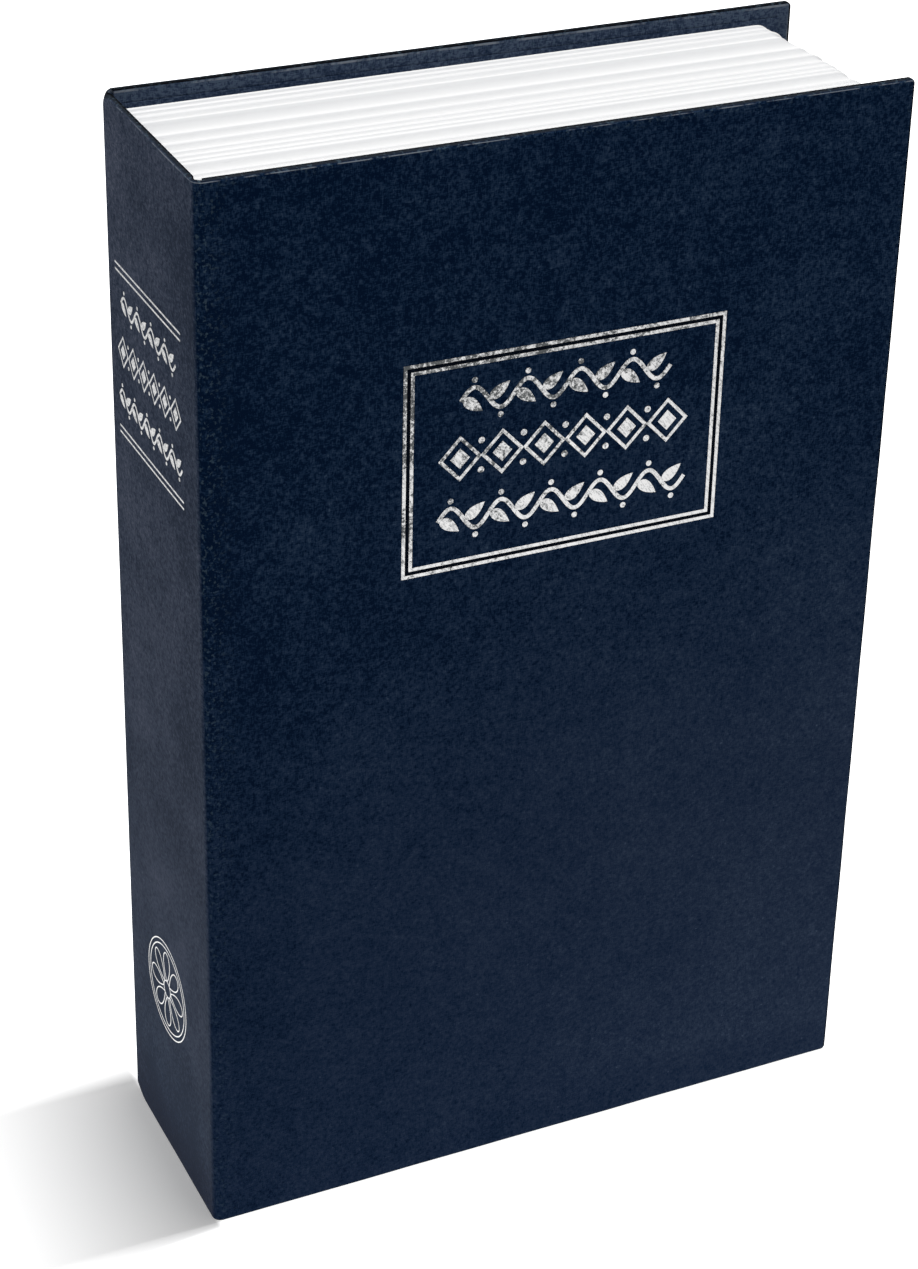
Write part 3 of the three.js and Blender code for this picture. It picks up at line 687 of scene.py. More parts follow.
sheet = {
    "thickness": 0.2 * mm,
    "lift": 0.06 * mm,
    "wave": 0.04 * mm,
    "waveSize": 46 * mm,
    "ripple": 0.010 * mm,
    "rippleSize": 9 * mm,
    "arris": 0.55 * mm,
    "arrisSway": 0.3,
    "innerArris": 0.3 * mm,
    "swaySize": 16 * mm,
    "corner": 1.1 * mm,
    "turnIn": 14 * mm,
    "gridInset": 2.4 * mm,
    # (inset, wear and painted light) on the turned-in margin, from its end towards the edge, and then on the
    # outer face; on the margin the values lighten it with specks as painted light
    "marginEndWear": 0.2,
    "margin": ((8 * mm, 0.2), (3.4 * mm, 0.25), (1.6 * mm, 0.5), (0.95 * mm, 0.5), (0.75 * mm, 0.95)),
    "face": ((1.0 * mm, 0.45), (1.6 * mm, 0.2)),
    "boardGap": 0.02 * mm,
    "arrisShare": 0.66,
    "innerArrisShare": 0.24,
    "innerSteps": 4,
    "outerSteps": 8,
    # the first inner value draws the pale line on the inner arris: rubbed wear and painted highlight
    "innerWearAndGlint": (0.95, 0.4),
    # side falls from 2 on the inner face to outerSide where the outer arris starts
    "sideStep": 0.35,
    "outerSide": 0.6,
    # where the pale line lies on the outer arris: rubbed wear and painted highlight
    "rubGlintAt": 6.0,
    "rubGlintSpread": 1.6,
    "arrisWearAndGlint": (0.55, 0.45),
    "jointEndWear": 0.6,
    "cornerWear": 0.3,
    "wearReach": 1.6 * mm,
    "jointReach": 5 * mm,
    "alongSteps": 76,
    "upSteps": 120,
    "arcSteps": 6,
}


def paperLift(u, v, side):
    # how far the sheet lies under the board's nominal face, in metres
    wide = noise.noise(Vector((u, v, side)) / sheet["waveSize"])
    fine = noise.noise(Vector((u, v, side)) / sheet["rippleSize"])
    return sheet["lift"] + sheet["wave"] * wide + sheet["ripple"] * fine


def edgeProfile(x, z, side, thick):
    # (inset, depth, wear and painted light, face) from the turned-in margin round the edge to the outer face
    sway = noise.noise(Vector((x, z, side)) / sheet["swaySize"])
    radius = min(sheet["arris"] * (1 + sheet["arrisSway"] * sway), sheet["arrisShare"] * thick)
    within = min(sheet["innerArris"], sheet["innerArrisShare"] * thick)
    edge = sheet["lift"] * (0.5 + 0.5 * sway * sway)
    outer = paperLift(x, z, side)
    inner = thick - sheet["boardGap"]
    steps = [(sheet["turnIn"], inner, sheet["marginEndWear"], 2)]
    steps += [(inset, inner, worn, 2) for inset, worn in sheet["margin"]]
    firstWear, nextWear = sheet["innerWearAndGlint"]
    step, count = sheet["sideStep"], sheet["innerSteps"]
    for k in range(count + 1):
        turn = math.radians(90 * k / count)
        inset = edge + within * (1 - math.sin(turn))
        depth = inner - within * (1 - math.cos(turn))
        worn = firstWear if k == 0 else nextWear
        steps.append((inset, depth, worn, 2 - step * min(k, 1) - step * k / count))
    base, more = sheet["arrisWearAndGlint"]
    count = sheet["outerSteps"]
    for k in range(count + 1):
        turn = math.radians(90 * k / count)
        inset = edge + radius * (1 - math.cos(turn))
        rubbedGlint = base + more * math.exp(-(((k - sheet["rubGlintAt"]) / sheet["rubGlintSpread"]) ** 2))
        depth = outer + radius * (1 - math.sin(turn))
        steps.append((inset, depth, rubbedGlint, sheet["outerSide"] * (1 - k / count)))
    steps += [(inset, outer, worn, 0) for inset, worn in sheet["face"]]
    return steps + [(sheet["gridInset"], outer, 0.0, 0)]


def insetPoint(i, inset):
    # point i along the three free sides of a board at one inset: tail, fore edge, head
    along, up, arc = sheet["alongSteps"], sheet["upSteps"], sheet["arcSteps"]
    reach = max(sheet["corner"], inset)
    radius = reach - inset
    cornerX = foreFace - reach
    low, high = reach, bookTop - reach
    if i < along:
        return boardStart + (cornerX - boardStart) * i / along, inset
    i -= along
    if i <= arc:
        turn = math.radians(-90 + 90 * i / arc)
        return cornerX + radius * math.cos(turn), low + radius * math.sin(turn)
    i -= arc
    if i < up:
        return foreFace - inset, low + (high - low) * i / up
    i -= up
    if i <= arc:
        turn = math.radians(90 * i / arc)
        return cornerX + radius * math.cos(turn), high + radius * math.sin(turn)
    i -= arc
    return boardStart + (cornerX - boardStart) * (along - i) / along, bookTop - inset


def boardWrap(name, outerFace, inward, side, material):
    along, up, arc = sheet["alongSteps"], sheet["upSteps"], sheet["arcSteps"]
    outline = [insetPoint(i, 0.0) for i in range(2 * along + up + 2 * arc + 1)]
    profiles = [edgeProfile(x, z, side, boardBuild) for x, z in outline]
    rings, count = len(profiles[0]), len(outline)
    points, wear, sides = [], [], []
    for k in range(rings):
        for i in range(count):
            inset, depth, worn, face = profiles[i][k]
            x, z = insetPoint(i, inset)
            points.append((x, outerFace + inward * depth, z))
            wear.append(worn)
            sides.append(face)
    start = len(points)
    inset, endWear = sheet["gridInset"], sheet["jointEndWear"]
    for j in range(up + 1):
        for i in range(along + 1):
            x = boardStart + (foreFace - inset - boardStart) * i / along
            z = inset + (bookTop - 2 * inset) * j / up
            points.append((x, outerFace + inward * paperLift(x, z, side), z))
            wear.append(max(0.0, endWear - endWear * (x - boardStart) / sheet["jointReach"]))
            sides.append(0)

    def gridAt(i, j):
        return start + j * (along + 1) + i

    rim = [gridAt(i, 0) for i in range(along)] + [gridAt(along, 0)] * (arc + 1)
    rim += [gridAt(along, j) for j in range(1, up)] + [gridAt(along, up)] * (arc + 1)
    rim += [gridAt(i, up) for i in range(along - 1, -1, -1)]
    faces = ringFaces(rings, count, closed=False)
    last = (rings - 1) * count
    for i in range(count - 1):
        corners = [last + i, last + i + 1, rim[i + 1], rim[i]]
        faces.append(tuple(dict.fromkeys(corners)))
    faces += ringFaces(up + 1, along + 1, start, closed=False)
    if inward < 0:
        faces = [tuple(reversed(face)) for face in faces]
    made = addPiece(name, points, faces, material)
    storeValues(made, "wear", wear)
    storeValues(made, "side", sides)
    thicken(made, sheet["thickness"])
    smooth(made, 50)
    return made


frontWrap = boardWrap("front_cover_paper", frontFace, 1, 3.0, frontPaper)
place(frontWrap, "front_cover", "case_covering", "front_covering")
backWrap = boardWrap("back_cover_paper", backFace, -1, 11.0, casePaper)
place(backWrap, "book_body", "case_covering", "back_covering")
print("boards wrapped")

joint = {
    "radius": 2 * mm,
    "paperBuild": 0.95 * mm,
    "spineBuild": 1.4 * mm,
    "shoulder": 2 * mm,
    "shoulderReach": 5 * mm,
    "arcSteps": 12,
    "spineSteps": 30,
    "wear": (0.4, 0.7),
    "wearFrom": 0.5 * mm,
}


def bentColumns(side):
    # (x, y, inward x, inward y, thickness, shoulder) across a joint, from the board to the spine
    radius = joint["radius"]
    centreX = spineFace + radius
    centreY = side * (backFace - radius)
    columns = []
    for k in range(3):
        x = boardStart + (centreX - boardStart) * k / 3
        thick = boardBuild + (joint["paperBuild"] - boardBuild) * min(1, k / 2)
        columns.append((x, side * backFace, 0.0, -side, thick, 0.0))
    for k in range(joint["arcSteps"] + 1):
        turn = math.radians(90 * k / joint["arcSteps"])
        nx, ny = -math.sin(turn), side * math.cos(turn)
        thick = joint["paperBuild"]
        drop = joint["shoulder"] * min(1.0, 2 * k / joint["arcSteps"]) if side > 0 else 0.0
        columns.append((centreX + radius * nx, centreY + radius * ny, -nx, -ny, thick, drop))
    return columns


def spineColumns():
    half = backFace - joint["radius"]
    steps = joint["spineSteps"]
    columns = []
    for k in range(steps + 1):
        y = -half + 2 * half * k / steps
        edge = min(k, steps - k)
        thick = joint["spineBuild"] if edge > 0 else joint["paperBuild"]
        away = min(1.0, (half - y) / joint["shoulderReach"])
        columns.append((spineFace, y, 1.0, 0.0, thick, joint["shoulder"] * (1 - away) ** 2))
    back = bentColumns(1)
    back.reverse()
    return columns + back[1:]


def columnPath(x, y, side, thick, drop):
    # (depth, z, wear and painted light, face) from the tail's turned-in end over the outer face to the head's
    along = y if side == 5.0 else x

    def fall(depth):
        # the outer skin is rounded off lower than the inner
        return drop * max(0.0, 1 - depth / thick) ** 1.5

    tail = edgeProfile(along, 0.0, side, thick)
    head = edgeProfile(along, bookTop, side, thick)
    inset, up = sheet["gridInset"], sheet["upSteps"]
    path = [(depth, reach + fall(depth), worn, face) for reach, depth, worn, face in tail]
    for j in range(1, up):
        z = inset + drop + (bookTop - 2 * (inset + drop)) * j / up
        path.append((paperLift(along, z, side), z, 0.0, 0))
    for reach, depth, worn, face in reversed(head):
        path.append((depth, bookTop - reach - fall(depth), worn, face))
    return path


def bentSheet(name, columns, side, wornAt, material):
    points, wear, sides = [], [], []
    for x, y, nx, ny, thick, drop in columns:
        for depth, z, worn, face in columnPath(x, y, side, thick, drop):
            points.append((x + nx * depth, y + ny * depth, z))
            wear.append(max(worn, wornAt(x, y)))
            sides.append(face)
    faces = ringFaces(len(columns), len(points) // len(columns), closed=False)
    made = addPiece(name, points, faces, material)
    storeValues(made, "wear", wear)
    storeValues(made, "side", sides)
    thicken(made, sheet["thickness"])
    smooth(made, 50)
    return made


def jointWear(x, y):
    atSpine, atCover = joint["wear"]
    return atCover if x > spineFace + joint["wearFrom"] else atSpine


def spineWear(x, y):
    toCorner = backFace - joint["radius"] - abs(y)
    most = sheet["cornerWear"]
    return min(most, max(0.0, most - toCorner / sheet["wearReach"]))


spinePaper = bentSheet("spine_paper", spineColumns(), 5.0, spineWear, casePaper)
place(spinePaper, "book_body", "case_covering", "spine_covering")

jointPaper = bentSheet("front_joint_paper", bentColumns(-1), 3.0, jointWear, casePaper)
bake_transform(jointPaper)
print("spine and joints made")

endpapers = {
    "thickness": 0.16 * mm,
    "sink": 0.14 * mm,
    "slope": 1.6 * mm,
    "wave": 0.03 * mm,
    "columns": 98,
    "rows": 156,
}


def endpaperSink(x, z):
    # the paper drops off the turned-in margins onto the board
    away = min(foreFace - sheet["turnIn"] - x, z - sheet["turnIn"], bookTop - sheet["turnIn"] - z)
    share = min(1.0, max(0.0, away / endpapers["slope"]))
    return endpapers["sink"] * share * share * (3 - 2 * share)


def endpaperSheet(name, node, outward, side, body):
    low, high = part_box(node)
    top = high.y if outward > 0 else low.y
    columns, rows = endpapers["columns"], endpapers["rows"]
    points = []
    for j in range(rows + 1):
        for i in range(columns + 1):
            x = low.x + (high.x - low.x) * i / columns
            z = low.z + (high.z - low.z) * j / rows
            wave = endpapers["wave"] * (1 + noise.noise(Vector((x, z, side)) / sheet["waveSize"]))
            points.append((x, top - outward * (endpaperSink(x, z) + wave), z))
    faces = ringFaces(rows + 1, columns + 1, closed=False)
    if outward > 0:
        faces = [tuple(reversed(face)) for face in faces]
    made = addPiece(name, points, faces, lining)
    thicken(made, endpapers["thickness"])
    smooth(made, 40)
    return place(made, body, "endpaper", node)


endpaperSheet("front_lining", "front_endpaper", 1, 21.0, "front_cover")
endpaperSheet("back_lining", "back_endpaper", -1, 23.0, "book_body")


# Page block: a white moulding whose sides show groups of leaves

leaves = {
    "groups": (2.2, 2.4, 3.5, 7.1, 4.7, 4.1, 2.4, 2.3, 1.9, 5.1, 2.2, 2.1, 2.2, 2.3, 2.4),
    "setbacks": (1.6, 1.0, 1.4, 0.6, 0.0, 0.2, 0.0, 0.1, 0.2, 0.0, 0.1, 0.0, 0.2, 0.1, 0.0),
    "cleft": 0.42 * mm,
    "cleftAt": 0.2,
    "fullDipSpan": 3.6 * mm,
    "greyWithin": 0.45 * mm,
    "corner": 4 * mm,
    "levelPitch": 0.22 * mm,
    "headSteps": 30,
    "foreSteps": 44,
    "cornerSteps": 10,
    "backSteps": 12,
    "wellCorner": 5 * mm,
    "wellCornerSteps": 12,
    "wellBevel": 0.7 * mm,
    "bevelSteps": 4,
    "spineBorder": 12 * mm,
    "foreBorder": 13 * mm,
    "headBorder": 14 * mm,
    "lineDepth": 0.05 * mm,
    "linePitch": 0.55 * mm,
    "lineDrift": 2.5,
}


def leafDip(share):
    # depth between two crests: a quick drop in front of the first, a slow rise to the next
    if share < leaves["cleftAt"]:
        return math.sin(math.pi / 2 * share / leaves["cleftAt"])
    return 1 - ((share - leaves["cleftAt"]) / (1 - leaves["cleftAt"])) ** 1.5


def leafShade(share, span):
    rise = min(1.0, share * span / leaves["greyWithin"])
    return rise * rise * (3 - 2 * rise) * (1 - share ** 1.3)


def leafLevels():
    # (y, dip, setback, shade) through the block, from its back to its front
    back, front = pageHigh.y, pageLow.y
    scale = (back - front) / sum(leaves["groups"])
    levels, crest, behind = [], back, leaves["setbacks"][0]
    for width, setback in zip(leaves["groups"], leaves["setbacks"]):
        span = width * scale
        steps = max(7, round(span / leaves["levelPitch"]))
        for j in range(steps):
            share = j / steps
            turned = min(1.0, share / leaves["cleftAt"])
            short = (behind + (setback - behind) * turned) * mm
            dip = leafDip(share) * min(1.0, span / leaves["fullDipSpan"])
            levels.append((crest - span * share, dip, short, leafShade(share, span)))
        crest, behind = crest - span, setback
    return levels + [(front, 0.0, behind * mm, 0.0)]


def leafOutline(inset, short):
    # ((x, z), outward, fluted) round the block at one level
    right = pageHigh.x - inset - short
    low, high = pageLow.z + inset, pageHigh.z - inset
    radius = leaves["corner"] - inset
    head, fore, arc = leaves["headSteps"], leaves["foreSteps"], leaves["cornerSteps"]
    ring = []
    for i in range(head + 1):
        ring.append(((pageLow.x + (right - radius - pageLow.x) * i / head, low), (0, -1), 1))
    for i in range(1, arc):
        turn = math.radians(-90 + 90 * i / arc)
        out = (math.cos(turn), math.sin(turn))
        ring.append(((right - radius + radius * out[0], low + radius + radius * out[1]), out, 1))
    for i in range(fore + 1):
        ring.append(((right, low + radius + (high - low - 2 * radius) * i / fore), (1, 0), 1))
    for i in range(1, arc):
        turn = math.radians(90 * i / arc)
        out = (math.cos(turn), math.sin(turn))
        ring.append(((right - radius + radius * out[0], high - radius + radius * out[1]), out, 1))
    for i in range(head + 1):
        ring.append(((right - radius - (right - radius - pageLow.x) * i / head, high), (0, 1), 1))
    back = leaves["backSteps"]
    for i in range(1, back):
        ring.append(((pageLow.x, high - (high - low) * i / back), (-1, 0), 0))
    return ring


def wellOutline(grow):
    left, right = pageLow.x + leaves["spineBorder"] - grow, pageHigh.x - leaves["foreBorder"] + grow
    low, high = pageLow.z + leaves["headBorder"] - grow, pageHigh.z - leaves["headBorder"] + grow
    radius, steps = leaves["wellCorner"] + grow, leaves["wellCornerSteps"]
    ring = []
    corners = ((right, low, -90), (right, high, 0), (left, high, 90), (left, low, 180))
    for x, z, start in corners:
        cx = x - radius if x == right else x + radius
        cz = z - radius if z == high else z + radius
        for i in range(steps + 1):
            turn = math.radians(start + 90 * i / steps)
            ring.append((cx + radius * math.cos(turn), cz + radius * math.sin(turn)))
    return ring


def leafLineTree():
    # fine lines between single leaves: a pattern that only changes from front to back
    tree = bpy.data.node_groups.new("leafLines", "GeometryNodeTree")
    tree.interface.new_socket("Geometry", in_out="INPUT", socket_type="NodeSocketGeometry")
    tree.interface.new_socket("Geometry", in_out="OUTPUT", socket_type="NodeSocketGeometry")
    names = {}
    for name in ("Depth", "Pitch", "Seed"):
        names[name] = tree.interface.new_socket(name, in_out="INPUT", socket_type="NodeSocketFloat")
    given = addNode(tree, "NodeGroupInput")
    x, y, z = splitXYZ(tree, addNode(tree, "GeometryNodeInputPosition").outputs[0])
    level = plus(tree, over(tree, y, given.outputs["Pitch"]), given.outputs["Seed"])
    drift = times(tree, plus(tree, x, z), leaves["lineDrift"])
    vector = joinXYZ(tree, level, drift, 0.0)
    lines = addNode(tree, "ShaderNodeTexNoise", {"Vector": vector, "Scale": 1.0, "Detail": 2.0}).outputs[0]
    fluted = addNode(tree, "GeometryNodeInputNamedAttribute", {0: "fluted"}, data_type="FLOAT").outputs[0]
    out = addNode(tree, "GeometryNodeInputNamedAttribute", {0: "outward"}, data_type="FLOAT_VECTOR")
    out = out.outputs[0]
    sink = times(tree, times(tree, lines, fluted), given.outputs["Depth"])
    away = times(tree, sink, -1.0)
    move = addNode(tree, "ShaderNodeVectorMath", {0: out, "Scale": away}, operation="SCALE").outputs[0]
    moved = addNode(tree, "GeometryNodeSetPosition", {0: given.outputs["Geometry"], "Offset": move})
    addNode(tree, "NodeGroupOutput", {0: moved.outputs[0]})
    return tree, names


def pageBlock():
    points, groove, fluted, outward = [], [], [], []
    levels = leafLevels()
    for y, dip, short, shade in levels:
        inset = leaves["cleft"] * dip
        for (x, z), out, flag in leafOutline(inset, short):
            points.append((x, y, z))
            groove.append(shade)
            fluted.append(flag)
            outward.append((out[0], 0.0, out[1]))
    faces = ringFaces(len(levels), len(leafOutline(0, 0)), flip=True)
    start = len(points)
    bevel = leaves["wellBevel"]
    front, back = pageLow.y, pageHigh.y
    wellRings = [(back, 0.0)]
    steps = leaves["bevelSteps"]
    for k in range(steps + 1):
        turn = math.radians(90 * k / steps)
        wellRings.append((front + bevel * (1 - math.sin(turn)), bevel * (1 - math.cos(turn))))
    for y, grow in wellRings:
        for x, z in wellOutline(grow):
            points.append((x, y, z))
            groove.append(0.0)
            fluted.append(0.0)
            outward.append((0.0, 0.0, 0.0))
    faces += ringFaces(len(wellRings), len(wellOutline(0)), start)
    made = addPiece("page_block", points, faces, plastic)
    # groove: painted shade in the clefts, from leafShade
    storeValues(made, "groove", groove)
    storeValues(made, "fluted", fluted)
    layer = made.data.attributes.new("outward", "FLOAT_VECTOR", "POINT")
    layer.data.foreach_set("vector", [part for vector in outward for part in vector])
    capRims(made, front, back)
    tree, names = leafLineTree()
    lines = made.modifiers.new("leaf lines", "NODES")
    lines.node_group = tree
    lines[names["Depth"].identifier] = leaves["lineDepth"]
    lines[names["Pitch"].identifier] = leaves["linePitch"]
    lines[names["Seed"].identifier] = 5.0
    makePlain(made)
    smooth(made, 38)
    return made


def capRims(piece, front, back):
    # flat rims at the front and the back, each between the outer ring and the well's
    shape = bmesh.new()
    shape.from_mesh(piece.data)
    for y in (front, back):
        rim = [e for e in shape.edges if e.is_boundary and all(abs(v.co.y - y) < 1e-7 for v in e.verts)]
        bmesh.ops.triangle_fill(shape, use_beauty=True, use_dissolve=False, edges=rim)
    bmesh.ops.recalc_face_normals(shape, faces=shape.faces)
    shape.to_mesh(piece.data)
    shape.free()


place(pageBlock(), "book_body", "page_block", "page_frame")
print("page block made")


# Foil: bands, vines, lozenges and a rosette, drawn flat and then laid on the paper

foil = {"thickness": 0.06 * mm, "proud": 0.03 * mm, "step": 1.5 * mm}


def layOnFront(x, y, z):
    surface = frontFace + paperLift(x, y, 3.0) - foil["proud"]
    return x, surface + foil["thickness"] / 2 - z, y


def layOnSpine(x, y, z):
    surface = spineFace + paperLift(-x, y, 5.0) - foil["proud"]
    return surface + foil["thickness"] / 2 - z, -x, y


def laid(piece, lay, dx, dy):
    for vertex in piece.data.vertices:
        x, y, z = vertex.co
        vertex.co = lay(x + dx, y + dy, z)
    smooth(piece, 40)
    return piece


def bandPoints(corners, closed):
    # the corners with points between them, so that a band can follow the paper
    count = len(corners) if closed else len(corners) - 1
    points = []
    for i in range(count):
        a, b = Vector(corners[i]), Vector(corners[(i + 1) % len(corners)])
        steps = max(1, round((b - a).length / foil["step"]))
        points += [a.lerp(b, k / steps) for k in range(steps)]
    return points if closed else points + [Vector(corners[-1])]


def foilFrame(name, halfWidth, halfHeight, width, material):
    # a rectangle of four mitred lines, halfWidth and halfHeight to its outside
    def loop(inset):
        w, h = halfWidth - inset, halfHeight - inset
        return [(-w, -h), (w, -h), (w, h), (-w, h)]

    outer = bandPoints(loop(0), True)
    ratios = [((p.x / halfWidth), (p.y / halfHeight)) for p in outer]
    inner = [Vector((u * (halfWidth - width), v * (halfHeight - width))) for u, v in ratios]
    half = foil["thickness"] / 2
    count = len(outer)
    rings = ((outer, -half), (outer, half), (inner, half), (inner, -half))
    points = [(p.x, p.y, z) for ring, z in rings for p in ring]
    faces = []
    for k in range(4):
        for i in range(count):
            a, b = k * count + i, k * count + (i + 1) % count
            c, d = ((k + 1) % 4) * count + (i + 1) % count, ((k + 1) % 4) * count + i
            faces.append((a, b, c, d))
    return addPiece(name, points, faces, material)


def foilRule(name, length, width, material):
    line = bandPoints([(-length / 2, 0), (length / 2, 0)], False)
    half = foil["thickness"] / 2
    section = ((-width / 2, -half), (width / 2, -half), (width / 2, half), (-width / 2, half))
    points = [(p.x, y, z) for p in line for y, z in section]
    faces = ringFaces(len(line), 4, flip=True)
    last = (len(line) - 1) * 4
    faces += [(0, 1, 2, 3), (last + 3, last + 2, last + 1, last)]
    made = addPiece(name, points, faces, material)
    faceOutwards(made)
    return made


def newShapeTree(name, floats, whole=()):
    # a Geometry Nodes tree with named sizes, counts and a material
    tree = bpy.data.node_groups.new(name, "GeometryNodeTree")
    tree.interface.new_socket("Geometry", in_out="OUTPUT", socket_type="NodeSocketGeometry")
    sockets = {}
    for label in floats:
        sockets[label] = tree.interface.new_socket(label, in_out="INPUT", socket_type="NodeSocketFloat")
    for label in whole:
        sockets[label] = tree.interface.new_socket(label, in_out="INPUT", socket_type="NodeSocketInt")
    sockets["Material"] = tree.interface.new_socket(
        "Material", in_out="INPUT", socket_type="NodeSocketMaterial"
    )
    given = addNode(tree, "NodeGroupInput")
    return tree, sockets, given.outputs


def endShapeTree(tree, parts, material):
    joined = addNode(tree, "GeometryNodeJoinGeometry")
    for part in reversed(parts):
        tree.links.new(part, joined.inputs[0])
    whole = addNode(tree, "GeometryNodeRealizeInstances", {0: joined.outputs[0]})
    dressed = addNode(tree, "GeometryNodeSetMaterial", {0: whole.outputs[0], "Material": material})
    addNode(tree, "NodeGroupOutput", {0: dressed.outputs[0]})


def runTree(name, built, values, material):
    tree, sockets = built
    made = addPiece(name, [], [], material)
    grown = made.modifiers.new("shape", "NODES")
    grown.node_group = tree
    for label, value in values.items():
        grown[sockets[label].identifier] = value
    grown[sockets["Material"].identifier] = material
    makePlain(made)
    return made


def ribbon(tree, curve, width, thickness):
    # a flat band along a curve that lies in the XY plane
    upright = addNode(tree, "GeometryNodeSetCurveNormal", {0: curve}, mode="Z_UP").outputs[0]
    section = addNode(tree, "GeometryNodeCurvePrimitiveQuadrilateral", {0: width, 1: thickness})
    swept = addNode(tree, "GeometryNodeCurveToMesh", {0: upright, 1: section.outputs[0]})
    swept.inputs["Fill Caps"].default_value = True
    return swept.outputs[0]


def copiesAt(tree, points, shape, **more):
    made = addNode(tree, "GeometryNodeInstanceOnPoints", {"Points": points, "Instance": shape, **more})
    return made.outputs[0]


def pointRow(tree, count, start, offset):
    inputs = {"Count": count, "Start Location": start, "Offset": offset}
    return addNode(tree, "GeometryNodeMeshLine", inputs).outputs[0]


def shifted(tree, shape, offset):
    return addNode(tree, "GeometryNodeSetPosition", {0: shape, "Offset": offset}).outputs[0]


def stretched(tree, shape, x, y):
    return addNode(tree, "GeometryNodeTransform", {0: shape, "Scale": joinXYZ(tree, x, y, 1.0)}).outputs[0]


def disc(tree, corners, radius, thickness):
    inputs = {"Vertices": corners, "Radius": radius, "Depth": thickness}
    return addNode(tree, "GeometryNodeMeshCylinder", inputs).outputs[0]


ornament = {
    "leafColumns": 13,
    "leafRows": 5,
    "leafLean": 0.75,
    "leafSwell": 0.8,
    "leafTip": 0.04,
    "leafCurl": 0.55,
    "stemPoints": 160,
    "leafAt": 0.06,
    "leafTurn": 16,
    "berryAt": 0.5,
    "berryDrop": -1.62,
    "berrySides": 16,
    "lozengeWidth": 0.46,
    "heartWidth": 0.23,
    "heartHeight": 0.25,
    "beadHeight": 0.36,
    "ringPoints": 72,
    "petalPoints": 40,
    "petalSwell": 0.4,
}


def leafShape(tree, length, width, thickness):
    # a pointed leaf from the origin along +X, as a thin closed solid
    inputs = {"Vertices X": ornament["leafColumns"], "Vertices Y": ornament["leafRows"], "Vertices Z": 2}
    cube = addNode(tree, "GeometryNodeMeshCube", inputs)
    cube.inputs["Size"].default_value = (1.0, 1.0, 1.0)
    x, y, z = splitXYZ(tree, addNode(tree, "GeometryNodeInputPosition").outputs[0])
    share = plus(tree, x, 0.5, clamp=True)
    lean = mathNode(tree, "POWER", share, ornament["leafLean"])
    swell = mathNode(tree, "SINE", times(tree, lean, math.pi))
    swell = larger(tree, mathNode(tree, "POWER", swell, ornament["leafSwell"]), ornament["leafTip"])
    newX = times(tree, share, length)
    curl = times(tree, times(tree, share, share), times(tree, width, ornament["leafCurl"]))
    newY = timesPlus(tree, times(tree, y, width), swell, curl)
    newZ = times(tree, z, thickness)
    spot = joinXYZ(tree, newX, newY, newZ)
    return addNode(tree, "GeometryNodeSetPosition", {0: cube.outputs[0], "Position": spot}).outputs[0]


def vineTree():
    # a waving stem with a leaf and a berry in each of its hollows
    labels = ("Length", "Swing", "Stem width", "Thickness", "Leaf length", "Leaf width", "Berry")
    tree, sockets, given = newShapeTree("vine", labels, ("Waves",))
    length, swing, thickness = given["Length"], given["Swing"], given["Thickness"]
    half = over(tree, length, 2.0)
    ends = {"Start": joinXYZ(tree, times(tree, half, -1.0)), "End": joinXYZ(tree, half)}
    line = addNode(tree, "GeometryNodeCurvePrimitiveLine", ends)
    inputs = {0: line.outputs[0], "Count": ornament["stemPoints"]}
    fine = addNode(tree, "GeometryNodeResampleCurve", inputs, mode="COUNT")
    rate = over(tree, times(tree, given["Waves"], 2 * math.pi), length)
    x = splitXYZ(tree, addNode(tree, "GeometryNodeInputPosition").outputs[0])[0]
    phase = times(tree, plus(tree, x, half), rate)
    rise = times(tree, mathNode(tree, "SINE", phase), swing)
    stem = shifted(tree, fine.outputs[0], joinXYZ(tree, 0.0, rise))
    stemBand = ribbon(tree, stem, given["Stem width"], thickness)
    hollows = times(tree, given["Waves"], 2.0)
    pitch = over(tree, length, hollows)

    def dotsAlong(share):
        # one point in each half wave, at that share of it
        first = minus(tree, times(tree, pitch, share), half)
        return pointRow(tree, hollows, joinXYZ(tree, first), joinXYZ(tree, pitch))

    parity = mathNode(tree, "MODULO", addNode(tree, "GeometryNodeInputIndex").outputs[0], 2.0)
    side = minus(tree, times(tree, parity, 2.0), 1.0)
    leaf = leafShape(tree, given["Leaf length"], given["Leaf width"], thickness)
    turn = joinXYZ(tree, 0.0, 0.0, times(tree, side, math.radians(ornament["leafTurn"])))
    flip = joinXYZ(tree, 1.0, side, 1.0)
    leafSet = copiesAt(tree, dotsAlong(ornament["leafAt"]), leaf, Rotation=turn, Scale=flip)
    berry = disc(tree, ornament["berrySides"], given["Berry"], thickness)
    drop = times(tree, side, times(tree, swing, ornament["berryDrop"]))
    hung = shifted(tree, dotsAlong(ornament["berryAt"]), joinXYZ(tree, 0.0, drop))
    endShapeTree(tree, [stemBand, leafSet, copiesAt(tree, hung, berry)], given["Material"])
    return tree, sockets


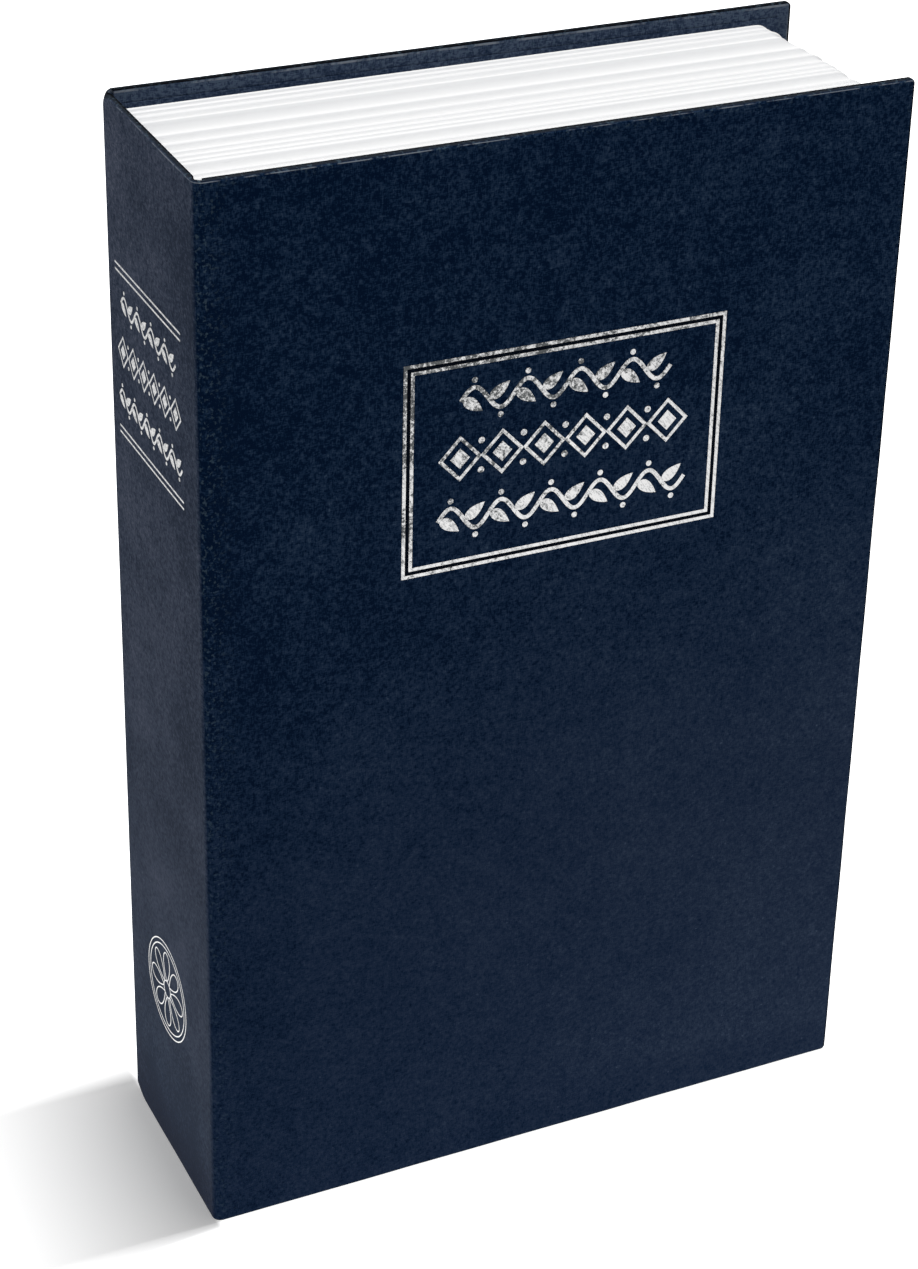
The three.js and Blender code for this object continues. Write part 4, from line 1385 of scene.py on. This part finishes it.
def lozengeTree():
    # open lozenges with a solid one inside, a pair of beads between each two
    labels = ("Length", "Height", "Line", "Thickness", "Berry")
    tree, sockets, given = newShapeTree("lozenges", labels, ("Count",))
    length, height, count = given["Length"], given["Height"], given["Count"]
    thickness = given["Thickness"]
    pitch = over(tree, length, count)
    halfPitch = over(tree, pitch, 2.0)
    first = minus(tree, halfPitch, over(tree, length, 2.0))

    def row(number, start):
        return pointRow(tree, number, joinXYZ(tree, start), joinXYZ(tree, pitch))

    ring = addNode(tree, "GeometryNodeCurvePrimitiveCircle", {"Resolution": 4, "Radius": 1.0})
    half = times(tree, height, 0.5)
    diamond = stretched(tree, ring.outputs[0], times(tree, pitch, ornament["lozengeWidth"]), half)
    outline = ribbon(tree, diamond, given["Line"], thickness)
    wide = times(tree, pitch, ornament["heartWidth"])
    tall = times(tree, height, ornament["heartHeight"])
    heart = stretched(tree, disc(tree, 4, 1.0, thickness), wide, tall)
    bead = disc(tree, ornament["berrySides"], given["Berry"], thickness)
    middles = row(count, first)
    gaps = row(minus(tree, count, 1.0), plus(tree, first, halfPitch))
    parts = [copiesAt(tree, middles, outline), copiesAt(tree, middles, heart)]
    for sign in (-1, 1):
        shift = joinXYZ(tree, 0.0, times(tree, height, ornament["beadHeight"] * sign))
        parts.append(copiesAt(tree, shifted(tree, gaps, shift), bead))
    endShapeTree(tree, parts, given["Material"])
    return tree, sockets


def rosetteTree():
    # two rings and an eye round a ring of petals, all in thin lines
    labels = ("Radius", "Inner ring", "Petal length", "Petal width", "Line", "Thickness", "Eye")
    tree, sockets, given = newShapeTree("rosette", labels, ("Petals",))
    line, thickness = given["Line"], given["Thickness"]

    def circle(points, radius):
        inputs = {"Resolution": points, "Radius": radius}
        return addNode(tree, "GeometryNodeCurvePrimitiveCircle", inputs).outputs[0]

    rings = (given["Radius"], given["Inner ring"], given["Eye"])
    parts = [ribbon(tree, circle(ornament["ringPoints"], radius), line, thickness) for radius in rings]
    ring = circle(ornament["petalPoints"], 1.0)
    turn = times(tree, addNode(tree, "GeometryNodeSplineParameter").outputs[0], 2 * math.pi)
    reach = minus(tree, 0.5, times(tree, mathNode(tree, "COSINE", turn), 0.5))
    along = plus(tree, times(tree, reach, given["Petal length"]), given["Eye"])
    swell = times(tree, mathNode(tree, "SINE", turn), mathNode(tree, "POWER", reach, ornament["petalSwell"]))
    across = times(tree, swell, times(tree, given["Petal width"], 0.5))
    inputs = {0: ring, "Position": joinXYZ(tree, along, across)}
    petal = ribbon(tree, addNode(tree, "GeometryNodeSetPosition", inputs).outputs[0], line, thickness)
    index = addNode(tree, "GeometryNodeInputIndex").outputs[0]
    step = over(tree, 2 * math.pi, given["Petals"])
    nowhere = (0.0, 0.0, 0.0)
    centre = pointRow(tree, given["Petals"], nowhere, nowhere)
    spread = joinXYZ(tree, 0.0, 0.0, times(tree, index, step))
    parts.append(copiesAt(tree, centre, petal, Rotation=spread))
    endShapeTree(tree, parts, given["Material"])
    return tree, sockets


vineBuilt, lozengeBuilt, rosetteBuilt = vineTree(), lozengeTree(), rosetteTree()


def panelFrames():
    inner = panel["line"] + panel["gap"]
    for name, inset in (("panel_outer_line", 0.0), ("panel_inner_line", inner)):
        halfWidth, halfHeight = panel["halfWidth"] - inset, panel["halfHeight"] - inset
        made = foilFrame(name, halfWidth, halfHeight, panel["line"], panelFoil)
        laid(made, layOnFront, panel["centreX"], panel["centreZ"])
        place(made, "front_cover", "silver_foil")


def vineRow(name, length, scale, waves, lay, dx, dy, body, material):
    values = {
        "Length": length,
        "Swing": 2.6 * mm * scale,
        "Stem width": 0.9 * mm * scale,
        "Thickness": foil["thickness"],
        "Leaf length": 4.9 * mm * scale,
        "Leaf width": 2.6 * mm * scale,
        "Berry": 0.62 * mm * scale,
        "Waves": waves,
    }
    made = laid(runTree(name, vineBuilt, values, material), lay, dx, dy)
    return place(made, body, "silver_foil")


def lozengeRow(name, length, height, scale, count, lay, dx, dy, body, material):
    values = {
        "Length": length,
        "Height": height,
        "Line": 1.0 * mm * scale,
        "Thickness": foil["thickness"],
        "Berry": 0.7 * mm * scale,
        "Count": count,
    }
    made = laid(runTree(name, lozengeBuilt, values, material), lay, dx, dy)
    return place(made, body, "silver_foil")


panelFrames()
upperRow, middleRow, lowerRow = panel["rowHeights"]
centre = panel["centreX"]
vineRow("panel_vine_upper", 46 * mm, 1.0, 4, layOnFront, centre, upperRow, "front_cover", panelFoil)
lozengeRow("panel_lozenges", 55 * mm, 9 * mm, 1.0, 6, layOnFront, centre, middleRow, "front_cover", panelFoil)
vineRow("panel_vine_lower", 55 * mm, 1.0, 5, layOnFront, centre, lowerRow, "front_cover", panelFoil)

spineStamp = {
    "centre": -1.7 * mm,
    "rowHeights": (198.6 * mm, 188.1 * mm, 177.6 * mm),
    "ruleLength": 36.8 * mm,
    "ruleWidth": 0.42 * mm,
    "ruleHeights": (206.4 * mm, 204.95 * mm, 170.8 * mm, 169.4 * mm),
    "rosetteCentre": -1.5 * mm,
    "rosetteHeight": 43.5 * mm,
}
middle = spineStamp["centre"]
for number, height in enumerate(spineStamp["ruleHeights"], 1):
    rule = foilRule(f"spine_rule_{number}", spineStamp["ruleLength"], spineStamp["ruleWidth"], spineFoil)
    place(laid(rule, layOnSpine, middle, height), "book_body", "silver_foil")
upperRow, middleRow, lowerRow = spineStamp["rowHeights"]
onSpine = (layOnSpine, middle)
vineRow("spine_vine_upper", 31 * mm, 0.66, 4, *onSpine, upperRow, "book_body", spineFoil)
lozengeRow("spine_lozenges", 36 * mm, 6.4 * mm, 0.6, 6, *onSpine, middleRow, "book_body", spineFoil)
vineRow("spine_vine_lower", 36 * mm, 0.66, 5, *onSpine, lowerRow, "book_body", spineFoil)
rosetteSizes = {
    "Radius": 11.6 * mm,
    "Inner ring": 10.4 * mm,
    "Petal length": 7.4 * mm,
    "Petal width": 4.6 * mm,
    "Line": 0.28 * mm,
    "Thickness": foil["thickness"],
    "Eye": 2.0 * mm,
    "Petals": 8,
}
rosette = runTree("spine_rosette", rosetteBuilt, rosetteSizes, spineFoil)
laid(rosette, layOnSpine, spineStamp["rosetteCentre"], spineStamp["rosetteHeight"])
place(rosette, "book_body", "silver_foil")
print("foil laid")


# Steel box, hinge and lock

def refined(name, node, width, material, body, slot, angle=35, segments=2, cut=None):
    # the node's own shape with its arrises rounded off; cut may change the shape before that
    shape = bmesh.new()
    shape.from_mesh(nodes[node].data)
    bmesh.ops.remove_doubles(shape, verts=shape.verts, dist=1e-6)
    bmesh.ops.dissolve_limit(shape, angle_limit=math.radians(0.5), verts=shape.verts, edges=shape.edges)
    if cut:
        cut(shape)
    limit = math.radians(angle)
    arrises = [e for e in shape.edges if e.is_manifold and e.calc_face_angle(0) > limit]
    bmesh.ops.bevel(
        shape,
        geom=arrises,
        offset=width,
        offset_type="OFFSET",
        segments=segments,
        profile=0.5,
        affect="EDGES",
        clamp_overlap=True,
    )
    made = addPiece(name, [], [], material)
    shape.to_mesh(made.data)
    shape.free()
    smooth(made, angle)
    weigh = made.modifiers.new("weigh", "WEIGHTED_NORMAL")
    weigh.keep_sharp = True
    makePlain(made)
    return place(made, body, slot, node)


def cutBackCorners(shape):
    # the spine's board is cut off under the rounded corners of its paper
    back = max(v.co.y for v in shape.verts)
    level = [e for e in shape.edges if abs(e.verts[0].co.z - e.verts[1].co.z) < 0.01 * mm]
    corners = [e for e in level if min(v.co.y for v in e.verts) > back - 0.01 * mm]
    bmesh.ops.bevel(shape, geom=corners, offset=boards["cornerCut"], segments=1, profile=0.5, affect="EDGES")


boards = {"arris": 0.42 * mm, "cornerCut": 4 * mm}
arris = boards["arris"]
refined("front_greyboard", "front_board", arris, board, "front_cover", "greyboard", segments=3)
refined("back_greyboard", "back_board", arris, board, "book_body", "greyboard", segments=3)
refined("spine_greyboard", "spine_board", arris, board, "book_body", "greyboard", cut=cutBackCorners)
refined("steel_tub", "box_tub", 0.30 * mm, paint, "book_body", "painted_steel")
refined("steel_lid", "box_lid", 0.30 * mm, paint, "box_lid", "painted_steel")
refined("lock_case", "lock_body", 0.14 * mm, chrome, "box_lid", "lock_chrome")
refined("lock_hex_nut", "lock_nut", 0.25 * mm, zinc, "box_lid", "plated_steel")
refined("lock_turning_plug", "lock_plug", 0.10 * mm, chrome, "lock_plug", "lock_chrome")
refined("lock_washer", "stop_washer", 0.12 * mm, zinc, "lock_plug", "plated_steel")
refined("lock_crank_cam", "lock_cam", 0.20 * mm, zinc, "lock_plug", "plated_steel")
refined("lock_cam_screw", "cam_screw", 0.15 * mm, zinc, "lock_plug", "plated_steel")

hinge = {
    "knuckles": 13,
    "gap": 0.3 * mm,
    "outer": 1.8 * mm,
    "inner": 1.12 * mm,
    "leafSheet": 0.8 * mm,
    "curlSteps": 22,
    "edgeRound": 0.16 * mm,
    "plateGap": 0.2 * mm,
    "sweep": 325,
}
pinLow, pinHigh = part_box("hinge_pin")
leafLow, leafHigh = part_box("hinge_leaf_lid")
tubLeafLow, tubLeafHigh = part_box("hinge_leaf_tub")
hingeAxis = (pinLow + pinHigh) / 2
knucklePitch = (leafHigh.z - leafLow.z) / hinge["knuckles"]


def knuckleMesh(name, start):
    # one rolled knuckle, its sheet curled round the pin from start, in degrees
    half = (knucklePitch - hinge["gap"]) / 2
    inner, outer, edge = hinge["inner"], hinge["outer"], hinge["edgeRound"]
    section = [
        (inner, -half + edge),
        (inner + edge, -half),
        (outer - edge, -half),
        (outer, -half + edge),
        (outer, half - edge),
        (outer - edge, half),
        (inner + edge, half),
        (inner, half - edge),
    ]
    steps, count = hinge["curlSteps"], len(section)
    points = []
    for i in range(steps + 1):
        turn = math.radians(start + hinge["sweep"] * i / steps)
        for radius, z in section:
            points.append((radius * math.cos(turn), radius * math.sin(turn), z))
    faces = ringFaces(steps + 1, count)
    faces += [tuple(range(count)), tuple(range(steps * count, (steps + 1) * count))]
    made = addPiece(name, points, faces, zinc)
    faceOutwards(made)
    smooth(made)
    return made


def rowTree(name):
    # copies of one piece, evenly spaced up the book
    tree, sockets, given = newShapeTree(name, ("Pitch",), ("Count",))
    sockets["Piece"] = tree.interface.new_socket("Piece", in_out="INPUT", socket_type="NodeSocketObject")
    shape = addNode(tree, "GeometryNodeObjectInfo", {0: tree.nodes["Group Input"].outputs["Piece"]})
    offset = joinXYZ(tree, 0.0, 0.0, given["Pitch"])
    line = addNode(tree, "GeometryNodeMeshLine", {"Count": given["Count"], "Offset": offset})
    copies = copiesAt(tree, line.outputs[0], shape.outputs["Geometry"])
    endShapeTree(tree, [copies], tree.nodes["Group Input"].outputs["Material"])
    return tree, sockets


rowBuilt = rowTree("rowUp")


def rowOf(name, single, count, pitch, start, material):
    made = runTree(name, rowBuilt, {"Count": count, "Pitch": pitch, "Piece": single}, material)
    made.data.transform(Matrix.Translation(start))
    bpy.data.objects.remove(single)
    return made


def leafPlate(name, low, high):
    # a leaf's flat, with its edges eased
    made = addPiece(name, [], [], zinc)
    shape = bmesh.new()
    bmesh.ops.create_cube(shape, size=1.0)
    size, centre = high - low, (high + low) / 2
    for vertex in shape.verts:
        vertex.co = Vector((vertex.co.x * size.x, vertex.co.y * size.y, vertex.co.z * size.z)) + centre
    bmesh.ops.bevel(
        shape, geom=shape.edges[:], offset=hinge["edgeRound"], segments=2, profile=0.5, affect="EDGES"
    )
    shape.to_mesh(made.data)
    shape.free()
    smooth(made)
    return made


def joinMeshes(name, pieces):
    # several meshes become one piece
    shape = bmesh.new()
    for piece in pieces:
        shape.from_mesh(piece.data)
    made = addPiece(name, [], [], pieces[0].data.materials[0])
    shape.to_mesh(made.data)
    shape.free()
    for piece in pieces:
        bpy.data.objects.remove(piece)
    smooth(made)
    return made


def hingeLeaf(name, node, first, count, start, plateLow, plateHigh, body):
    single = knuckleMesh(name + "_knuckle", start)
    spot = Vector((hingeAxis.x, hingeAxis.y, leafLow.z + (first + 0.5) * knucklePitch))
    knuckles = rowOf(name + "_knuckles", single, count, 2 * knucklePitch, spot, zinc)
    plate = leafPlate(name + "_plate", plateLow, plateHigh)
    return place(joinMeshes(name, [knuckles, plate]), body, "plated_steel", node)


tubPlateLow = Vector((tubLeafLow.x, hingeAxis.y + hinge["outer"] + hinge["plateGap"], leafLow.z))
tubPlateHigh = Vector((tubLeafLow.x + hinge["leafSheet"], tubLeafHigh.y, leafHigh.z))
hingeLeaf("tub_hinge_leaf", "hinge_leaf_tub", 0, 7, 180, tubPlateLow, tubPlateHigh, "book_body")
lidStart = hingeAxis.x + hinge["outer"] + hinge["plateGap"]
lidPlateLow = Vector((lidStart, leafHigh.y - hinge["leafSheet"], leafLow.z))
hingeLeaf("lid_hinge_leaf", "hinge_leaf_lid", 1, 6, 90, lidPlateLow, leafHigh, "box_lid")

rivets = {
    "steps": 24,
    "headRound": 8,
    "headRadius": 2.6 * mm,
    "headHeight": 0.9 * mm,
    "headEase": (0.1 * mm, 0.05 * mm),
    "shank": 1.5 * mm,
    "tailRadius": 2.1 * mm,
    "tailHeight": 0.5 * mm,
    "tailEase": (0.1 * mm, 0.12 * mm, 0.15 * mm),
}


def rivetMesh(name, node, alongY):
    # one rivet with a domed head and an upset tail, its head towards the front or the spine
    low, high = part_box(node)
    size = high - low
    length = size.y if alongY else size.x
    headRadius, headHeight, shank = rivets["headRadius"], rivets["headHeight"], rivets["shank"]
    tail, tailHeight = rivets["tailRadius"], rivets["tailHeight"]
    profile = []
    for k in range(rivets["headRound"] + 1):
        turn = math.radians(90 * k / rivets["headRound"])
        profile.append((headRadius * math.sin(turn), headHeight * (1 - math.cos(turn))))
    end = length - tailHeight
    inwards, under = rivets["headEase"]
    profile += [(headRadius - inwards, headHeight + under), (shank, headHeight + under), (shank, end)]
    easeIn, easeUp, easeEnd = rivets["tailEase"]
    profile += [(tail - easeIn, end), (tail, end + easeUp), (tail - easeEnd, length), (0.0, length)]
    points, faces = [], []
    steps, count = rivets["steps"], len(profile)
    for i in range(steps):
        turn = 2 * math.pi * i / steps
        for radius, y in profile:
            across, up = radius * math.cos(turn), radius * math.sin(turn)
            points.append((across, y, up) if alongY else (y, -across, up))
    for i in range(steps):
        for k in range(count - 1):
            a, b = i * count + k, ((i + 1) % steps) * count + k
            faces.append((a, b, b + 1, a + 1))
    made = addPiece(name, points, faces, zinc)
    faceOutwards(made, weld=1e-7)
    smooth(made)
    return made


for prefix, body, alongY in (("lid", "box_lid", True), ("tub", "book_body", False)):
    names = [f"{prefix}_rivet_{number}" for number in range(1, 5)]
    low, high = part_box(names[0])
    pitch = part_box(names[1])[0].z - low.z
    start = (low + high) / 2
    if alongY:
        start.y = low.y
    else:
        start.x = low.x
    single = rivetMesh(prefix + "_rivet", names[0], alongY)
    row = rowOf(prefix + "_rivets", single, 4, pitch, start, zinc)
    smooth(row)
    place(row, body, "plated_steel", *names)

nodes["hinge_pin"].data.materials.clear()
nodes["hinge_pin"].data.materials.append(zinc)
print("steel box, hinge and lock made")


# Stage, light and camera

stage = {
    "floorSize": 12.0,
    "floorColour": (0.95, 0.95, 0.95),
    "glowNear": 0.197,
    "glowPerMetre": 3.05,
    "glowLean": 1.3,
    "limitLean": 0.12,
    "limitDepth": (3.5 * mm, 0.5 * mm),
    "besideReach": -2 * mm,
    "glowFar": 0.95,
    "bounceNear": 1.15,
    "bounceFar": 0.72,
    "bounceReach": 0.30,
    "skyLight": 0.38,
    "boxHeight": 2.0,
    "boxFrom": -0.06,
    "boxTo": 0.44,
    "boxAcross": -0.010,
    "boxDepth": 0.05,
    "boxPower": 33.0,
}


def makeFloor():
    # pale sweep that glows though it is no lamp: painted light sent back to the book fades away from it, as
    # on a table in a dim room
    half = stage["floorSize"] / 2
    corners = [(-half, -half, 0), (half, -half, 0), (half, half, 0), (-half, half, 0)]
    material, tree, shader, where = newMaterial("floorSweep", Roughness=0.9, Specular_IOR_Level=0.0)
    shader.inputs["Base Color"].default_value = rgba(*stage["floorColour"])
    shader.inputs["Emission Color"].default_value = rgba(1, 1, 1)
    away = addNode(tree, "ShaderNodeVectorMath", {0: where}, operation="LENGTH").outputs["Value"]
    share = over(tree, away, stage["bounceReach"])
    square = times(tree, times(tree, share, share), -1.0)
    floorLightShare = mathNode(tree, "POWER", math.e, square)
    # floorLightShare: the share of the floor's near glow, falling away from the book
    bounce = scaled(tree, floorLightShare, stage["bounceFar"], stage["bounceNear"])
    # painted shadow: the floor's glow as the camera sees it is low beside the spine and grows away from its
    # foot
    x, y, _ = splitXYZ(tree, where)
    left = minus(tree, spineFace, x)
    shade = timesPlus(tree, left, stage["glowPerMetre"], stage["glowNear"])
    shade = timesPlus(tree, y, stage["glowLean"], shade)
    beside = rampBetween(tree, left, stage["besideReach"], 0.0)
    forward = timesPlus(tree, left, stage["limitLean"], y)
    far, near = stage["limitDepth"]
    beside = times(tree, beside, rampBetween(tree, forward, frontFace - far, frontFace - near))
    shade = larger(tree, smaller(tree, shade, stage["glowFar"]), 0.0)
    glowing = scaled(tree, beside, stage["glowFar"], shade)
    tree.links.new(glowing, shader.inputs["Emission Strength"])
    # painted light: to all but the camera the floor is only a glow, brightest near the book
    glow = addNode(tree, "ShaderNodeEmission", {1: bounce})
    seen = addNode(tree, "ShaderNodeLightPath").outputs["Is Camera Ray"]
    both = addNode(tree, "ShaderNodeMixShader", {0: seen, 1: glow.outputs[0], 2: shader.outputs[0]})
    output = next(node for node in tree.nodes if node.type == "OUTPUT_MATERIAL")
    tree.links.new(both.outputs[0], output.inputs[0])
    addPiece("floor", corners, [(0, 1, 2, 3)], material)


def makeLight():
    world = bpy.data.worlds.new("studio")
    bpy.context.scene.world = world
    world.use_nodes = True
    tree = world.node_tree
    seen = addNode(tree, "ShaderNodeLightPath").outputs["Is Camera Ray"]
    back = tree.nodes["Background"]
    back.inputs[0].default_value = rgba(1, 1, 1)
    tree.links.new(scaled(tree, seen, stage["skyLight"], 1.0), back.inputs[1])
    lamp = bpy.data.lights.new("strip_box", "AREA")
    lamp.shape = "RECTANGLE"
    lamp.size, lamp.size_y = stage["boxTo"] - stage["boxFrom"], stage["boxDepth"]
    lamp.energy = stage["boxPower"]
    made = bpy.data.objects.new("strip_box", lamp)
    bpy.context.scene.collection.objects.link(made)
    made.location = ((stage["boxTo"] + stage["boxFrom"]) / 2, stage["boxAcross"], stage["boxHeight"])


photoWidth, photoHeight = 918, 1269
viewPoint = {
    "azimuth": -27.245,
    "elevation": 28.257,
    "roll": 2.313,
    "distance": 666.466 * mm,
    "right": 13.047 * mm,
    "up": 18.512 * mm,
    "focalPixels": 3126.592,
    "axisPixelX": 560,
    "axisPixelY": 530,
}


def makeCamera():
    azimuth, elevation, roll = (math.radians(viewPoint[k]) for k in ("azimuth", "elevation", "roll"))
    back = Vector(
        (
            math.sin(azimuth) * math.cos(elevation),
            -math.cos(azimuth) * math.cos(elevation),
            math.sin(elevation),
        )
    )
    level = Vector((math.cos(azimuth), math.sin(azimuth), 0.0))
    upright = back.cross(level)
    right = math.cos(roll) * level + math.sin(roll) * upright
    up = math.cos(roll) * upright - math.sin(roll) * level
    middle = Vector((0.0, 0.0, bookTop / 2))
    spot = middle + back * viewPoint["distance"] + right * viewPoint["right"] + up * viewPoint["up"]
    lens = bpy.data.cameras.new("camera")
    lens.sensor_width = 36.0
    lens.lens = lens.sensor_width * viewPoint["focalPixels"] / photoHeight
    lens.shift_x = (photoWidth / 2 - viewPoint["axisPixelX"]) / photoHeight
    lens.shift_y = (viewPoint["axisPixelY"] - photoHeight / 2) / photoHeight
    lens.clip_start, lens.clip_end = 0.01, 50.0
    camera = bpy.data.objects.new("camera", lens)
    bpy.context.scene.collection.objects.link(camera)
    turn = Matrix((right, up, back)).transposed().to_4x4()
    camera.matrix_world = Matrix.Translation(spot) @ turn
    bpy.context.scene.camera = camera


makeFloor()
makeLight()
makeCamera()
bpy.context.scene.view_settings.view_transform = "Standard"
print("stage, light and camera made")
